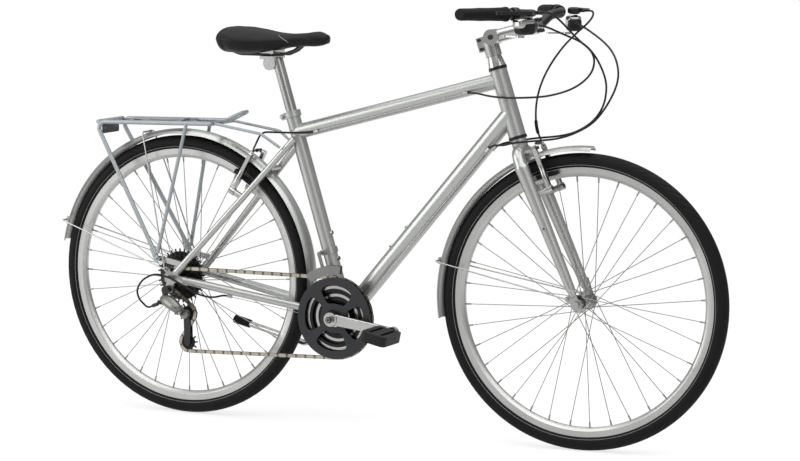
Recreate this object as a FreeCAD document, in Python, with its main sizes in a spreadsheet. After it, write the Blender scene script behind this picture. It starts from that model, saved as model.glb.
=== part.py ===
import FreeCAD, Part
import math
import os

import Sketcher
from FreeCAD import Placement, Rotation, Vector

SIZES = {
    # main layout
    "wheel_base": 1068,
    "bottom_bracket_drop": 71,
    "chainstay_length": 454.6,
    "seat_angle": 73,
    "head_angle": 72,
    "fork_rake": 43,
    "rest_steer_angle": 5,
    # fits and gaps
    "running_fit": 0.05,
    "seat_gap": 0.05,
    "part_gap": 0.4,
    "moving_gap": 0.8,
    "cutter_margin": 30,
    # tyres, rims and spokes
    "rim_seat_radius": 311,
    "tyre_height": 36,
    "tyre_width": 37,
    "tyre_wall": 3,
    "tyre_bead_lift": 4,
    "rim_flange_lift": 3.6,
    "rim_width": 24,
    "rim_depth": 22,
    "spoke_diameter": 2,
    "spoke_lead_offset": 3.4,
    "nipple_diameter": 4,
    "nipple_length": 12,
    # front hub
    "front_hub_width": 100,
    "front_flange_spacing": 70,
    "front_flange_diameter": 42,
    "front_barrel_diameter": 26,
    "flange_thickness": 3.2,
    "hub_end_diameter": 20,
    "hub_end_inset": 5,
    # rear hub and cassette
    "rear_hub_width": 135,
    "rear_left_flange": 34,
    "rear_right_flange": 19,
    "rear_flange_diameter": 48,
    "rear_barrel_diameter": 34,
    "axle_diameter": 9.8,
    "axle_nut_diameter": 17,
    "axle_nut_length": 11,
    "skewer_lever_length": 52,
    "skewer_lever_width": 13,
    "skewer_lever_thickness": 6,
    "cog_spacing": 4.8,
    "cog_thickness": 1.8,
    "first_cog_offset": 60,
    "freehub_diameter": 33,
    "cog_spacer_diameter": 37,
    "lockring_diameter": 32,
    # chain and sprocket teeth
    "chain_pitch": 12.7,
    "roller_diameter": 7.6,
    "roller_width": 2.6,
    "link_plate_height": 8.4,
    "link_plate_thickness": 0.9,
    "link_plate_gap": 0.2,
    "link_pin_diameter": 3.4,
    "link_pin_play": 0.1,
    "tooth_root_gap": 0.35,
    "tooth_rise": 3.3,
    # crankset
    "crank_length": 170,
    "crank_rest_angle": -6.5,
    "ring_offset": 57,
    "ring_spacing": 7,
    "ring_thickness": 2,
    "big_ring_bore": 128,
    "middle_ring_bore": 82,
    "small_ring_bore": 60,
    "spider_arm_width": 15,
    "spider_arm_reach": 70,
    "spider_hub_diameter": 38,
    "spider_bolt_circle": 88,
    "spider_bolt_diameter": 7,
    "guard_bolt_circle": 136,
    "guard_diameter": 197,
    "guard_rim_width": 17,
    "guard_thickness": 4,
    "guard_offset": 66.5,
    "guard_arm_width": 21,
    "guard_centre_diameter": 70,
    "crank_boss_diameter": 34,
    "crank_boss_offset": 71,
    "crank_boss_length": 17,
    "crank_end_diameter": 28,
    "crank_end_offset": 83,
    "crank_end_length": 13,
    "crank_arm_thickness": 11,
    "crank_arm_root_width": 29,
    "crank_arm_end_width": 23,
    "crank_bolt_diameter": 15,
    "crank_bolt_length": 5,
    "spindle_diameter": 17,
    # pedals
    "pedal_axle_diameter": 9,
    "pedal_axle_length": 100,
    "pedal_body_diameter": 24,
    "pedal_length": 64,
    "pedal_width": 94,
    "pedal_thickness": 24,
    "pedal_rail_width": 13,
    "pedal_corner_radius": 12,
    "pedal_rest_tilt": -12,
    "pedal_reflector_height": 12,
    "pedal_reflector_length": 46,
    "pedal_reflector_thickness": 4,
    # frame tubes
    "head_tube_diameter": 41,
    "head_tube_bore": 34,
    "head_tube_start": 413.5,
    "head_tube_length": 161,
    "top_tube_diameter": 36,
    "top_tube_seat_rise": 458,
    "top_tube_head_drop": 25,
    "down_tube_diameter": 43,
    "down_tube_head_rise": 54.5,
    "seat_tube_diameter": 34.9,
    "seat_tube_bore": 27.4,
    "seat_tube_length": 510,
    "frame_tube_wall": 1.6,
    "shell_diameter": 43,
    "shell_bore": 34,
    "shell_width": 68,
    "chainstay_diameter": 20,
    "seatstay_diameter": 16.5,
    "dropout_thickness": 6,
    "dropout_reach": 46,
    "dropout_boss_radius": 15,
    "hanger_drop": 29,
    "hanger_setback": 10,
    "hanger_radius": 10,
    "bridge_diameter": 12,
    "front_post_distance": 270,
    "rear_post_distance": 276,
    "rear_brake_angle": 62,
    "brake_post_half_spacing": 41,
    "brake_post_diameter": 9,
    "brake_post_base_diameter": 15,
    "front_post_lift": 34,
    "rear_post_lift": 25,
    "brake_post_length": 17,
    # headset and bottom bracket cups
    "headset_cup_height": 7,
    "headset_cup_diameter": 44,
    "headset_spigot_depth": 10,
    "bracket_cup_diameter": 41,
    "bracket_cup_rim": 4,
    "bracket_cup_depth": 16,
    # seat clamp, post and saddle
    "seat_clamp_diameter": 42,
    "seat_clamp_height": 15,
    "seat_clamp_ear_length": 12,
    "seat_clamp_ear_width": 14,
    "clamp_bolt_diameter": 5,
    "clamp_bolt_head_diameter": 8.5,
    "clamp_bolt_head_height": 5,
    "seat_post_diameter": 27.2,
    "seat_post_insert": 110,
    "seat_post_rise": 132,
    "seat_post_wall": 2.4,
    "post_head_setback": 14,
    "post_head_diameter": 33,
    "post_head_width": 34,
    "post_cradle_length": 38,
    "post_cradle_width": 58,
    "post_cradle_thickness": 7,
    "saddle_rail_diameter": 7,
    "saddle_rail_half_gap": 22,
    "saddle_height": 897,
    "saddle_tail_reach": 418,
    "saddle_length": 285,
    "saddle_width": 176,
    "saddle_cover_depth": 69,
    "saddle_base_thickness": 6,
    # fork
    "steerer_diameter": 28.6,
    "steerer_rise": 66,
    "crown_race_diameter": 37,
    "fork_crown_lift": 384,
    "fork_shoulder_diameter": 29,
    "fork_blade_end_diameter": 16,
    "fork_blade_half_gap": 46,
    "fork_shoulder_drop": 46,
    "fork_tip_half_gap": 53,
    "fork_tip_thickness": 6,
    "fork_tip_radius": 13,
    "fork_tip_length": 38,
    "fork_boss_diameter": 11,
    "fork_boss_distance": 190,
    # stem and bar
    "spacer_bottom_diameter": 42,
    "spacer_top_diameter": 33,
    "spacer_height": 26,
    "stem_clamp_diameter": 38,
    "stem_clamp_height": 36,
    "stem_lug_length": 15,
    "stem_lug_height": 34,
    "stem_lug_width": 17,
    "stem_pivot_diameter": 37,
    "stem_pivot_width": 42,
    "stem_pivot_lift": 43,
    "stem_arm_diameter": 31,
    "stem_reach": 97,
    "stem_rise": 26,
    "stem_bar_clamp_diameter": 37,
    "stem_bar_clamp_width": 40,
    "stem_bolt_diameter": 8,
    "stem_bolt_length": 6,
    "bar_diameter": 22.2,
    "bar_centre_diameter": 25.4,
    "bar_centre_half_width": 42,
    "bar_bend_half_width": 78,
    "bar_bend_forward": 29,
    "bar_rise": 32,
    "bar_shoulder_half_width": 122,
    "bar_half_width": 290,
    "bar_backsweep": 95,
    "bar_bend_radius": 45,
    "bar_wall": 2,
    # grips and controls
    "grip_length": 128,
    "grip_diameter": 33,
    "grip_wing_reach": 8,
    "grip_wing_thickness": 20,
    "grip_end_thickness": 6,
    "control_clamp_diameter": 31,
    "control_clamp_width": 18,
    "control_inset": 154,
    "control_pod_length": 44,
    "control_pod_depth": 34,
    "control_pod_height": 38,
    "control_pod_forward": 36,
    "control_pod_drop": 26,
    "control_barrel_diameter": 9,
    "control_barrel_length": 22,
    "lever_pivot_forward": 50,
    "lever_pivot_inset": 16,
    "lever_pivot_drop": -4,
    "lever_pivot_diameter": 6,
    "lever_boss_diameter": 15,
    "lever_boss_height": 9,
    "lever_length": 116,
    "lever_root_width": 15,
    "lever_tip_width": 13,
    "lever_thickness": 8,
    "lever_lead": 20,
    "shift_pivot_forward": 20,
    "shift_pivot_drop": 50,
    "shift_boss_diameter": 20,
    "shift_boss_height": 5,
    "shift_lever_length": 46,
    "shift_lever_width": 12,
    "shift_lever_thickness": 3.5,
    # stays and dropouts
    "chainstay_root": 19,
    "chainstay_waist": 64,
    "chainstay_widen": 105,
    "chainstay_tip": 424,
    "chainstay_root_half_gap": 22,
    "chainstay_waist_half_gap": 26,
    "chainstay_wide_half_gap": 35.5,
    "chainstay_tip_half_gap": 67,
    "chainstay_bend": 120,
    "seatstay_seat_rise": 443,
    "seatstay_tip": 20,
    "seatstay_tip_half_gap": 74,
    "seatstay_brake_half_gap": 41,
    "seatstay_top_half_gap": 22,
    "seatstay_bend": 160,
    "seatstay_bend_distance": 283,
    "dropout_bar_width": 18,
    "eyelet_diameter": 13,
    "eyelet_bore": 5,
    "guard_eyelet_setback": 15,
    "guard_eyelet_rise": 20,
    "rack_eyelet_ahead": -36,
    "rack_eyelet_rise": 46,
    "seatstay_bridge_distance": 374,
    # frame fittings
    "bottle_boss_diameter": 10,
    "bottle_boss_height": 4,
    "bottle_boss_bore": 5,
    "bottle_boss_spacing": 64,
    "seat_boss_rise": 137,
    "down_boss_rise": 210,
    "cable_stop_diameter": 7.5,
    "cable_stop_length": 12,
    "cable_stop_bore": 5.2,
    "cable_wire_bore": 2.4,
    "top_stop_front_run": 88,
    "top_stop_rear_run": 62,
    "top_stop_turn": 62,
    "down_stop_run": 98,
    "down_stop_turn": 48,
    "chainstay_stop_distance": 300,
    # saddle form
    "saddle_cover_wall": 9,
    "rail_bend": 18,
    "rail_end_rise": 26,
    "rail_rear_reach": 388,
    "rail_rear_bend_reach": 379,
    "rail_rear_flat_reach": 360,
    "rail_front_flat_reach": 250,
    "rail_front_bend_reach": 220,
    "rail_nose_reach": 200,
    "rail_rear_half_gap": 27,
    "rail_nose_half_gap": 7,
    # drive train layout
    "pulley_offset": 60,
    "guide_pulley_ahead": 37,
    "guide_pulley_drop": 87,
    "cage_length": 72,
    "pulley_hub_diameter": 12,
    "pulley_hub_width": 8,
    "pulley_bolt_diameter": 5,
    "pulley_rim_thickness": 2,
    "cage_plate_thickness": 2,
    "cage_plate_width": 17,
    "cage_half_gap": 5,
    # rear derailleur
    "knuckle_diameter": 20,
    "knuckle_length": 17,
    "hanger_bolt_diameter": 9.6,
    "shift_link_length": 54,
    "shift_link_width": 14,
    "shift_link_thickness": 9,
    "shift_swing_half": 19,
    "shift_pivot_diameter": 12,
    "shift_pivot_length": 15,
    "shift_pin_diameter": 5,
    "cage_knuckle_diameter": 23,
    "cage_knuckle_length": 13,
    "cage_knuckle_gap": 0.5,
    "shift_ear_rise": 13,
    "shift_ear_setback": 5,
    "shift_ear_offset": 96,
    "adjuster_setback": 14,
    "adjuster_drop": 10,
    "adjuster_aside": 6,
    # front derailleur
    "front_mech_rise": 160,
    "front_band_diameter": 41,
    "front_band_height": 14,
    "front_arm_diameter": 13,
    "front_cage_half_gap": 5,
    "front_cage_thickness": 1.4,
    "front_cage_inner_radius": 105,
    "front_cage_height": 22,
    "front_sleeve_length": 19,
    "front_shift_travel": 14,
    # brakes
    "brake_arm_length": 100,
    "brake_arm_lean": 8,
    "brake_arm_width": 13,
    "brake_arm_thickness": 9,
    "brake_arm_boss_diameter": 18,
    "brake_arm_boss_length": 15,
    "brake_arm_top_diameter": 15,
    "brake_inset_length": 34,
    "brake_inset_width": 9,
    "brake_inset_thickness": 1.5,
    "brake_pad_radius": 307,
    "brake_pad_length": 54,
    "brake_pad_height": 10,
    "brake_pad_thickness": 9,
    "brake_pad_gap": 1.6,
    "brake_stud_diameter": 6,
    "noodle_diameter": 4.6,
    "noodle_rise": 22,
    "noodle_reach": 19,
    "noodle_bend": 13,
    "boot_diameter": 9,
    "boot_length": 24,
    # mudguards
    "guard_width": 46,
    "guard_depth": 12,
    "guard_wall": 1.6,
    "guard_crown_radius": 364,
    "rear_guard_start": -18,
    "rear_guard_sweep": 187,
    "front_guard_start": 87.4,
    "front_guard_sweep": 101.6,
    "guard_stay_diameter": 3.6,
    "guard_stay_half_gap": 27,
    "guard_stay_lift": 3,
    "guard_stay_bend": 7,
    "stay_washer": 2.6,
    "rear_stay_angle": 161,
    "rear_upper_stay_angle": 107,
    "front_stay_angle": 167.5,
    "front_eyelet_setback": 22,
    "front_eyelet_rise": 12,
    "stay_screw_diameter": 8,
    "guard_tab_width": 14,
    # rack
    "rack_tube_diameter": 10.5,
    "rack_height": 730,
    "rack_rear_reach": 225,
    "rack_rear_drop": 6,
    "rack_half_width": 58,
    "rack_front_ahead": 105,
    "rack_bend": 16,
    "rack_foot_half_gap": 80,
    "rack_leg_ahead": 38,
    "rack_rung_diameter": 8,
    "rack_loop_half_width": 20,
    "rack_loop_ahead": 172,
    "rack_loop_rise": 28,
    "rack_arm_bend_ahead": 240,
    "rack_arm_bend_drop": 20,
    "rack_arm_end_ahead": 287,
    "rack_arm_end_drop": 52,
    "rack_arm_half_gap": 47,
    "rack_arm_end_half_gap": 37,
    "rack_arm_diameter": 7,
    "rack_deck_length": 152,
    "rack_deck_width": 34,
    "rack_deck_thickness": 3,
    "rack_foot_plate_width": 14,
    "rack_foot_thickness": 5,
    "light_plate_width": 74,
    "light_plate_height": 26,
    "light_plate_thickness": 3,
    "light_hole_spacing": 50,
    "light_hole_diameter": 5.5,
    # kickstand
    "kickstand_plate_length": 40,
    "kickstand_plate_width": 66,
    "kickstand_plate_thickness": 5,
    "kickstand_block_length": 34,
    "kickstand_block_width": 26,
    "kickstand_block_gap": 2.6,
    "kickstand_bolt_diameter": 8,
    "kickstand_pivot_drop": 41,
    "kickstand_pivot_side": 22,
    "kickstand_boss_diameter": 22,
    "kickstand_boss_length": 16,
    "kickstand_pin_diameter": 10,
    "kickstand_leg_diameter": 15,
    "kickstand_knee_back": 74,
    "kickstand_knee_drop": 56,
    "kickstand_knee_side": 44,
    "kickstand_foot_back": 276,
    "kickstand_foot_drop": 13,
    "kickstand_foot_side": 60,
    "kickstand_foot_diameter": 21,
    "kickstand_foot_length": 38,
    "kickstand_bend": 22,
    "kickstand_axis_lean": 8.3,
    # cables
    "cable_route_step": 1,
    "cable_housing_diameter": 4.8,
    "cable_wire_diameter": 1.6,
    "cable_bend": 90,
    # cable guides and adjusters
    "exit_run": 16,
    "adjuster_diameter": 9,
    "adjuster_length": 16,
    "guide_length": 26,
    "guide_width": 34,
    "guide_thickness": 5,
    "front_wire_back": 28,
    "front_wire_side": 5,
    "stay_wire_side": 36,
    "stay_wire_drop": 16,
}
AXIS_X = Vector(1, 0, 0)
AXIS_Y = Vector(0, 1, 0)
AXIS_Z = Vector(0, 0, 1)
SIDES = {"right": -1, "left": 1}

doc = FreeCAD.newDocument("hybrid_bike")
NODES = []


def wording(value):
    """Give the formula text of a sheet size or plain number."""
    return value.text if isinstance(value, Size) else f"{float(value):.9f}"


class Size(float):
    """A size from the sheet that keeps the formula it came from."""

    def __new__(cls, value, text):
        made = float.__new__(cls, value)
        made.text = text
        return made

    def __add__(self, other):
        return Size(float(self) + float(other), f"({self.text} + {wording(other)})")

    def __radd__(self, other):
        return Size(float(other) + float(self), f"({wording(other)} + {self.text})")

    def __sub__(self, other):
        return Size(float(self) - float(other), f"({self.text} - {wording(other)})")

    def __rsub__(self, other):
        return Size(float(other) - float(self), f"({wording(other)} - {self.text})")

    def __mul__(self, other):
        return Size(float(self) * float(other), f"({self.text} * {wording(other)})")

    def __rmul__(self, other):
        return Size(float(other) * float(self), f"({wording(other)} * {self.text})")

    def __truediv__(self, other):
        return Size(float(self) / float(other), f"({self.text} / {wording(other)})")

    def __neg__(self):
        return Size(-float(self), f"(0 - {self.text})")


class Sheet:
    """The spreadsheet of driving sizes, read back by alias."""

    def __init__(self, sizes):
        cells = doc.addObject("Spreadsheet::Sheet", "sizes")
        for row, (alias, value) in enumerate(sizes.items(), start=1):
            cells.set(f"A{row}", alias)
            cells.set(f"B{row}", str(value))
            cells.setAlias(f"B{row}", alias)
        doc.recompute()
        self.cells = cells

    def __getattr__(self, alias):
        return Size(float(self.cells.get(alias)), f"sizes.{alias}")


s = Sheet(SIZES)


def bind(item, field, value):
    """Set one property, tied to the sheet where the value comes from it."""
    setattr(item, field, float(value))
    if isinstance(value, Size):
        item.setExpression(field, value.text)


def aimed(base, direction):
    """Place local Z along a direction at a base point."""
    return Placement(Vector(base), Rotation(AXIS_Z, Vector(direction)))


def framed(base, along, up):
    """Place local X along one direction and local Z near another."""
    return Placement(Vector(base), Rotation(Vector(along), Vector(0, 0, 0), Vector(up), "XZY"))


def rod(start, end, diameter):
    """A round rod between two points."""
    piece = doc.addObject("Part::Cylinder", "rod")
    bind(piece, "Radius", diameter / 2)
    piece.Height = (end - start).Length
    piece.Placement = aimed(start, end - start)
    return piece


def barrel(centre, direction, diameter, length):
    """A round rod of a given length centred on a point."""
    way = Vector(direction).normalize()
    piece = doc.addObject("Part::Cylinder", "barrel")
    bind(piece, "Radius", diameter / 2)
    bind(piece, "Height", length)
    piece.Placement = aimed(Vector(centre) - way * float(length / 2), way)
    return piece


def stub(start, direction, diameter, length):
    """A round rod of a given length standing on a point."""
    way = Vector(direction).normalize()
    return barrel(Vector(start) + way * float(length / 2), way, diameter, length)


def cone(start, end, first_diameter, last_diameter):
    """A tapered rod between two points."""
    piece = doc.addObject("Part::Cone", "cone")
    bind(piece, "Radius1", first_diameter / 2)
    bind(piece, "Radius2", last_diameter / 2)
    piece.Height = (end - start).Length
    piece.Placement = aimed(start, end - start)
    return piece


def ball(centre, diameter):
    """A sphere on a point."""
    piece = doc.addObject("Part::Sphere", "ball")
    bind(piece, "Radius", diameter / 2)
    piece.Placement.Base = Vector(centre)
    return piece


def block(place, length, width, height):
    """A box centred on its placement."""
    piece = doc.addObject("Part::Box", "block")
    bind(piece, "Length", length)
    bind(piece, "Width", width)
    bind(piece, "Height", height)
    middle = Vector(-float(length) / 2, -float(width) / 2, -float(height) / 2)
    piece.Placement = place.multiply(Placement(middle, Rotation()))
    return piece


def bar(start, end, width, thickness, up):
    """A flat bar between two points, its thickness along up."""
    place = framed((start + end) * 0.5, end - start, up)
    return block(place, (end - start).Length, width, thickness)


def rounded_edges(points, radius, closed=False):
    """Join points by straight runs with tangent arcs at the corners."""
    count = len(points)
    corners = range(count) if closed else range(1, count - 1)
    spans = {}
    for i in corners:
        before, here, after = points[i - 1], points[i], points[(i + 1) % count]
        u = (before - here).normalize()
        v = (after - here).normalize()
        angle = math.acos(max(-1.0, min(1.0, u.dot(v))))
        straight = angle > math.radians(179.5)
        room = 0.499 * min((before - here).Length, (after - here).Length)
        reach = 0 if straight else min(float(radius) / math.tan(angle / 2), room)
        spans[i] = (here, u, v, angle, reach)
    edges = []
    order = list(spans) if closed else list(spans)
    last = points[0]
    if closed:
        here, u, v, angle, reach = spans[count - 1]
        last = here + v * reach
    for i in order:
        here, u, v, angle, reach = spans[i]
        first = here + u * reach
        if (first - last).Length > 1e-6:
            edges.append(Part.LineSegment(last, first).toShape())
        if reach > 0:
            inward = (u + v).normalize()
            turn = reach * math.tan(angle / 2)
            middle = here + inward * (turn / math.sin(angle / 2) - turn)
            edges.append(Part.Arc(first, middle, here + v * reach).toShape())
        last = here + v * reach
    if not closed:
        edges.append(Part.LineSegment(last, points[-1]).toShape())
    return edges


def pipe(points, diameter, bend):
    """Sweep a round section along straight runs with tangent bends."""
    spine = doc.addObject("Part::Feature", "spine")
    spine.Shape = Part.Wire(rounded_edges(points, bend))
    section = doc.addObject("Part::Circle", "section")
    bind(section, "Radius", diameter / 2)
    section.Placement = aimed(points[0], points[1] - points[0])
    sweep = doc.addObject("Part::Sweep", "pipe")
    sweep.Sections = [section]
    sweep.Spine = (spine, [f"Edge{i + 1}" for i in range(len(spine.Shape.Edges))])
    sweep.Solid = True
    sweep.Frenet = False
    return sweep


def plate(points, thickness, place, corner=None):
    """Extrude a closed outline, drawn in local XY, evenly about the placement."""
    flat = [Vector(float(x), float(y), 0) for x, y in points]
    outline = doc.addObject("Part::Feature", "outline")
    if corner is None:
        outline.Shape = Part.makePolygon(flat + flat[:1])
    else:
        outline.Shape = Part.Wire(rounded_edges(flat, corner, closed=True))
    outline.Placement = place
    piece = doc.addObject("Part::Extrusion", "plate")
    piece.Base = outline
    piece.DirMode = "Custom"
    piece.Dir = place.Rotation.multVec(AXIS_Z)
    bind(piece, "LengthFwd", thickness)
    piece.Symmetric = True
    piece.Solid = True
    return piece


def turned(outlines, place, angle=360):
    """Turn sketched outlines of (radius, along) points about local Y."""
    body = doc.addObject("PartDesign::Body", "turned")
    sketch = body.newObject("Sketcher::SketchObject", "profile")
    planes = [item for item in body.Origin.OriginFeatures if item.Role == "XY_Plane"]
    sketch.AttachmentSupport = [(planes[0], "")]
    sketch.MapMode = "FlatFace"
    for points in outlines:
        start = sketch.GeometryCount
        count = len(points)
        for i, (x, y) in enumerate(points):
            after = points[(i + 1) % count]
            line = Part.LineSegment(Vector(x, y, 0), Vector(after[0], after[1], 0))
            sketch.addGeometry(line, False)
        for i in range(count):
            joined = Sketcher.Constraint("Coincident", start + i, 2, start + (i + 1) % count, 1)
            sketch.addConstraint(joined)
        for i, pair in enumerate(points):
            for kind, value, axis in zip(("DistanceX", "DistanceY"), pair, (-2, -1)):
                if abs(float(value)) < 1e-9:
                    sketch.addConstraint(Sketcher.Constraint("PointOnObject", start + i, 1, axis))
                    continue
                held = Sketcher.Constraint(kind, -1, 1, start + i, 1, float(value))
                index = sketch.addConstraint(held)
                if isinstance(value, Size):
                    sketch.setExpression(f"Constraints[{index}]", value.text)
    turn = body.newObject("PartDesign::Revolution", "turn")
    turn.Profile = sketch
    turn.ReferenceAxis = (sketch, ["V_Axis"])
    turn.Angle = angle
    body.Placement = place
    return body


def ring(centre, direction, outer, inner, length):
    """A plain ring centred on a point."""
    place = Placement(Vector(centre), Rotation(AXIS_Y, Vector(direction)))
    half = length / 2
    corners = [(inner / 2, -half), (outer / 2, -half), (outer / 2, half), (inner / 2, half)]
    return turned([corners], place)


def fuse(*pieces):
    """Join pieces into one solid."""
    if len(pieces) == 1:
        return pieces[0]
    whole = doc.addObject("Part::MultiFuse", "joined")
    whole.Shapes = list(pieces)
    whole.Refine = True
    return whole


def cut(base, *tools):
    """Take tools away from a base."""
    result = doc.addObject("Part::Cut", "cut")
    result.Base = base
    result.Tool = tools[0] if len(tools) == 1 else group_of(tools)
    return result


def group_of(pieces):
    """Hold several cutters as one joined tool."""
    tools = doc.addObject("Part::MultiFuse", "tools")
    tools.Shapes = list(pieces)
    return tools


def made(shape):
    """Keep a shape worked out in code as a document object."""
    piece = doc.addObject("Part::Feature", "made")
    piece.Shape = shape
    return piece


def node(name, pieces, place=None):
    """Name one sub-part and set its pieces in the rest pose."""
    whole = doc.addObject("Part::Compound", name)
    whole.Label = name
    whole.Links = list(pieces)
    if place is not None:
        whole.Placement = place
    NODES.append(whole)
    return whole


def mirrored(points):
    """The same points on the other side of the bike."""
    return [Vector(p.x, -p.y, p.z) for p in points]


wheel_radius = s.rim_seat_radius + s.tyre_height
rear_axle = Vector(-s.wheel_base / 2, 0, wheel_radius)
front_axle = Vector(s.wheel_base / 2, 0, wheel_radius)
stay_run = math.sqrt(s.chainstay_length ** 2 - s.bottom_bracket_drop ** 2)
bracket = rear_axle + Vector(stay_run, 0, -s.bottom_bracket_drop)
seat_turn = math.radians(s.seat_angle)
seat_way = Vector(-math.cos(seat_turn), 0, math.sin(seat_turn))
head_turn = math.radians(s.head_angle)
steer_way = Vector(-math.cos(head_turn), 0, math.sin(head_turn))
steer_ahead = Vector(math.sin(head_turn), 0, math.cos(head_turn))
steer_foot = front_axle - steer_ahead * float(s.fork_rake)
head_end = s.head_tube_start + s.head_tube_length


def seat(height):
    """A point on the seat tube axis, measured from the bottom bracket."""
    return bracket + seat_way * float(height)


def steer(height, ahead=0.0, side=0.0):
    """A point by the steering axis, measured from beside the front axle."""
    return steer_foot + steer_way * float(height) + steer_ahead * float(ahead) + AXIS_Y * float(side)


def sideways(point, side):
    """The point moved to one side of the bike."""
    return Vector(point.x, float(side), point.z)


steered = Placement(Vector(), Rotation(steer_way, float(s.rest_steer_angle)), steer_foot)


def frame_tubes():
    """Build the welded front triangle as mitred tubes."""
    wall = 2 * s.frame_tube_wall
    head_outer = rod(steer(s.head_tube_start), steer(head_end), s.head_tube_diameter)
    head_bore = rod(
        steer(s.head_tube_start - s.cutter_margin),
        steer(head_end + s.cutter_margin),
        s.head_tube_bore,
    )
    shell_outer = barrel(bracket, AXIS_Y, s.shell_diameter, s.shell_width)
    shell_bore = barrel(bracket, AXIS_Y, s.shell_bore, s.shell_width + s.cutter_margin)
    seat_outer = rod(bracket, seat(s.seat_tube_length), s.seat_tube_diameter)
    seat_bore = rod(bracket, seat(s.seat_tube_length + s.cutter_margin), s.seat_tube_bore)
    top_ends = (seat(s.top_tube_seat_rise), steer(head_end - s.top_tube_head_drop))
    top_outer = rod(*top_ends, s.top_tube_diameter)
    down_ends = (bracket, steer(s.head_tube_start + s.down_tube_head_rise))
    down_outer = rod(*down_ends, s.down_tube_diameter)
    tubes = [
        cut(head_outer, head_bore),
        cut(shell_outer, shell_bore),
        cut(seat_outer, seat_bore, shell_outer),
        cut(top_outer, rod(*top_ends, s.top_tube_diameter - wall), head_outer, seat_outer),
        cut(down_outer, rod(*down_ends, s.down_tube_diameter - wall), head_outer, shell_outer, seat_outer),
    ]
    node("main_frame", tubes)
    return {
        "head": head_outer,
        "shell": shell_outer,
        "seat": seat_outer,
        "top": top_outer,
        "down": down_outer,
    }


stay_way = (rear_axle - bracket).normalize()
seatstay_top = seat(s.seatstay_seat_rise)
seatstay_way = (seatstay_top - rear_axle).normalize()
seatstay_back = Vector(-seatstay_way.z, 0, seatstay_way.x)
dropout_middle = s.rear_hub_width / 2 + s.dropout_thickness / 2


def chainstay_points(sign):
    """The bends of one chainstay, from the bottom bracket back."""
    stations = (
        (s.chainstay_root, s.chainstay_root_half_gap),
        (s.chainstay_waist, s.chainstay_waist_half_gap),
        (s.chainstay_widen, s.chainstay_wide_half_gap),
        (s.chainstay_tip, s.chainstay_tip_half_gap),
    )
    return [sideways(bracket + stay_way * float(run), sign * gap) for run, gap in stations]


def seatstay_points(sign):
    """The bends of one seatstay, from the dropout up."""
    return [
        sideways(rear_axle + seatstay_way * float(s.seatstay_tip), sign * s.seatstay_tip_half_gap),
        sideways(
            rear_axle + seatstay_way * float(s.seatstay_bend_distance),
            sign * s.seatstay_brake_half_gap,
        ),
        sideways(seatstay_top, sign * s.seatstay_top_half_gap),
    ]


hanger_point = rear_axle + Vector(-s.hanger_setback, 0, -s.hanger_drop)
guard_eyelet = rear_axle + Vector(-s.guard_eyelet_setback, 0, s.guard_eyelet_rise)
rack_eyelet = rear_axle + Vector(s.rack_eyelet_ahead, 0, s.rack_eyelet_rise)


def dropout(sign):
    """One dropout plate with its eyelets, and the hanger on the drive side."""
    side = sign * dropout_middle
    thick = s.dropout_thickness
    axle = sideways(rear_axle, side)
    forward = axle - stay_way * float(s.dropout_reach)
    upward = axle + seatstay_way * float(s.dropout_reach)
    pieces = [
        barrel(axle, AXIS_Y, 2 * s.dropout_boss_radius, thick),
        bar(axle, forward, s.dropout_bar_width, thick, AXIS_Y),
        bar(axle, upward, s.dropout_bar_width, thick, AXIS_Y),
        barrel(sideways(guard_eyelet, side), AXIS_Y, s.eyelet_diameter, thick),
        bar(axle, sideways(guard_eyelet, side), s.eyelet_diameter, thick, AXIS_Y),
        barrel(sideways(rack_eyelet, side), AXIS_Y, s.eyelet_diameter, thick),
        bar(upward, sideways(rack_eyelet, side), s.eyelet_diameter, thick, AXIS_Y),
    ]
    deep = thick + s.cutter_margin
    holes = [
        barrel(axle, AXIS_Y, s.axle_diameter + 2 * s.seat_gap, deep),
        barrel(sideways(guard_eyelet, side), AXIS_Y, s.eyelet_bore, deep),
        barrel(sideways(rack_eyelet, side), AXIS_Y, s.eyelet_bore, deep),
    ]
    if sign < 0:
        hook = sideways(hanger_point, side)
        pieces.append(barrel(hook, AXIS_Y, 2 * s.hanger_radius, thick))
        pieces.append(bar(axle, hook, 2 * s.hanger_radius, thick, AXIS_Y))
        holes.append(barrel(hook, AXIS_Y, s.axle_diameter, deep))
    return cut(fuse(*pieces), *holes)


rear_brake_turn = math.radians(s.rear_brake_angle)
rear_brake_up = Vector(math.cos(rear_brake_turn), 0, math.sin(rear_brake_turn))
rear_brake_out = Vector(-math.sin(rear_brake_turn), 0, math.cos(rear_brake_turn))


def brake_post(foot, outward, lift):
    """A brake pivot post standing on a stay or blade."""
    base = stub(foot, outward, s.brake_post_base_diameter, lift)
    pin = stub(foot, outward, s.brake_post_diameter, lift + s.brake_post_length)
    return fuse(base, pin)


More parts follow.
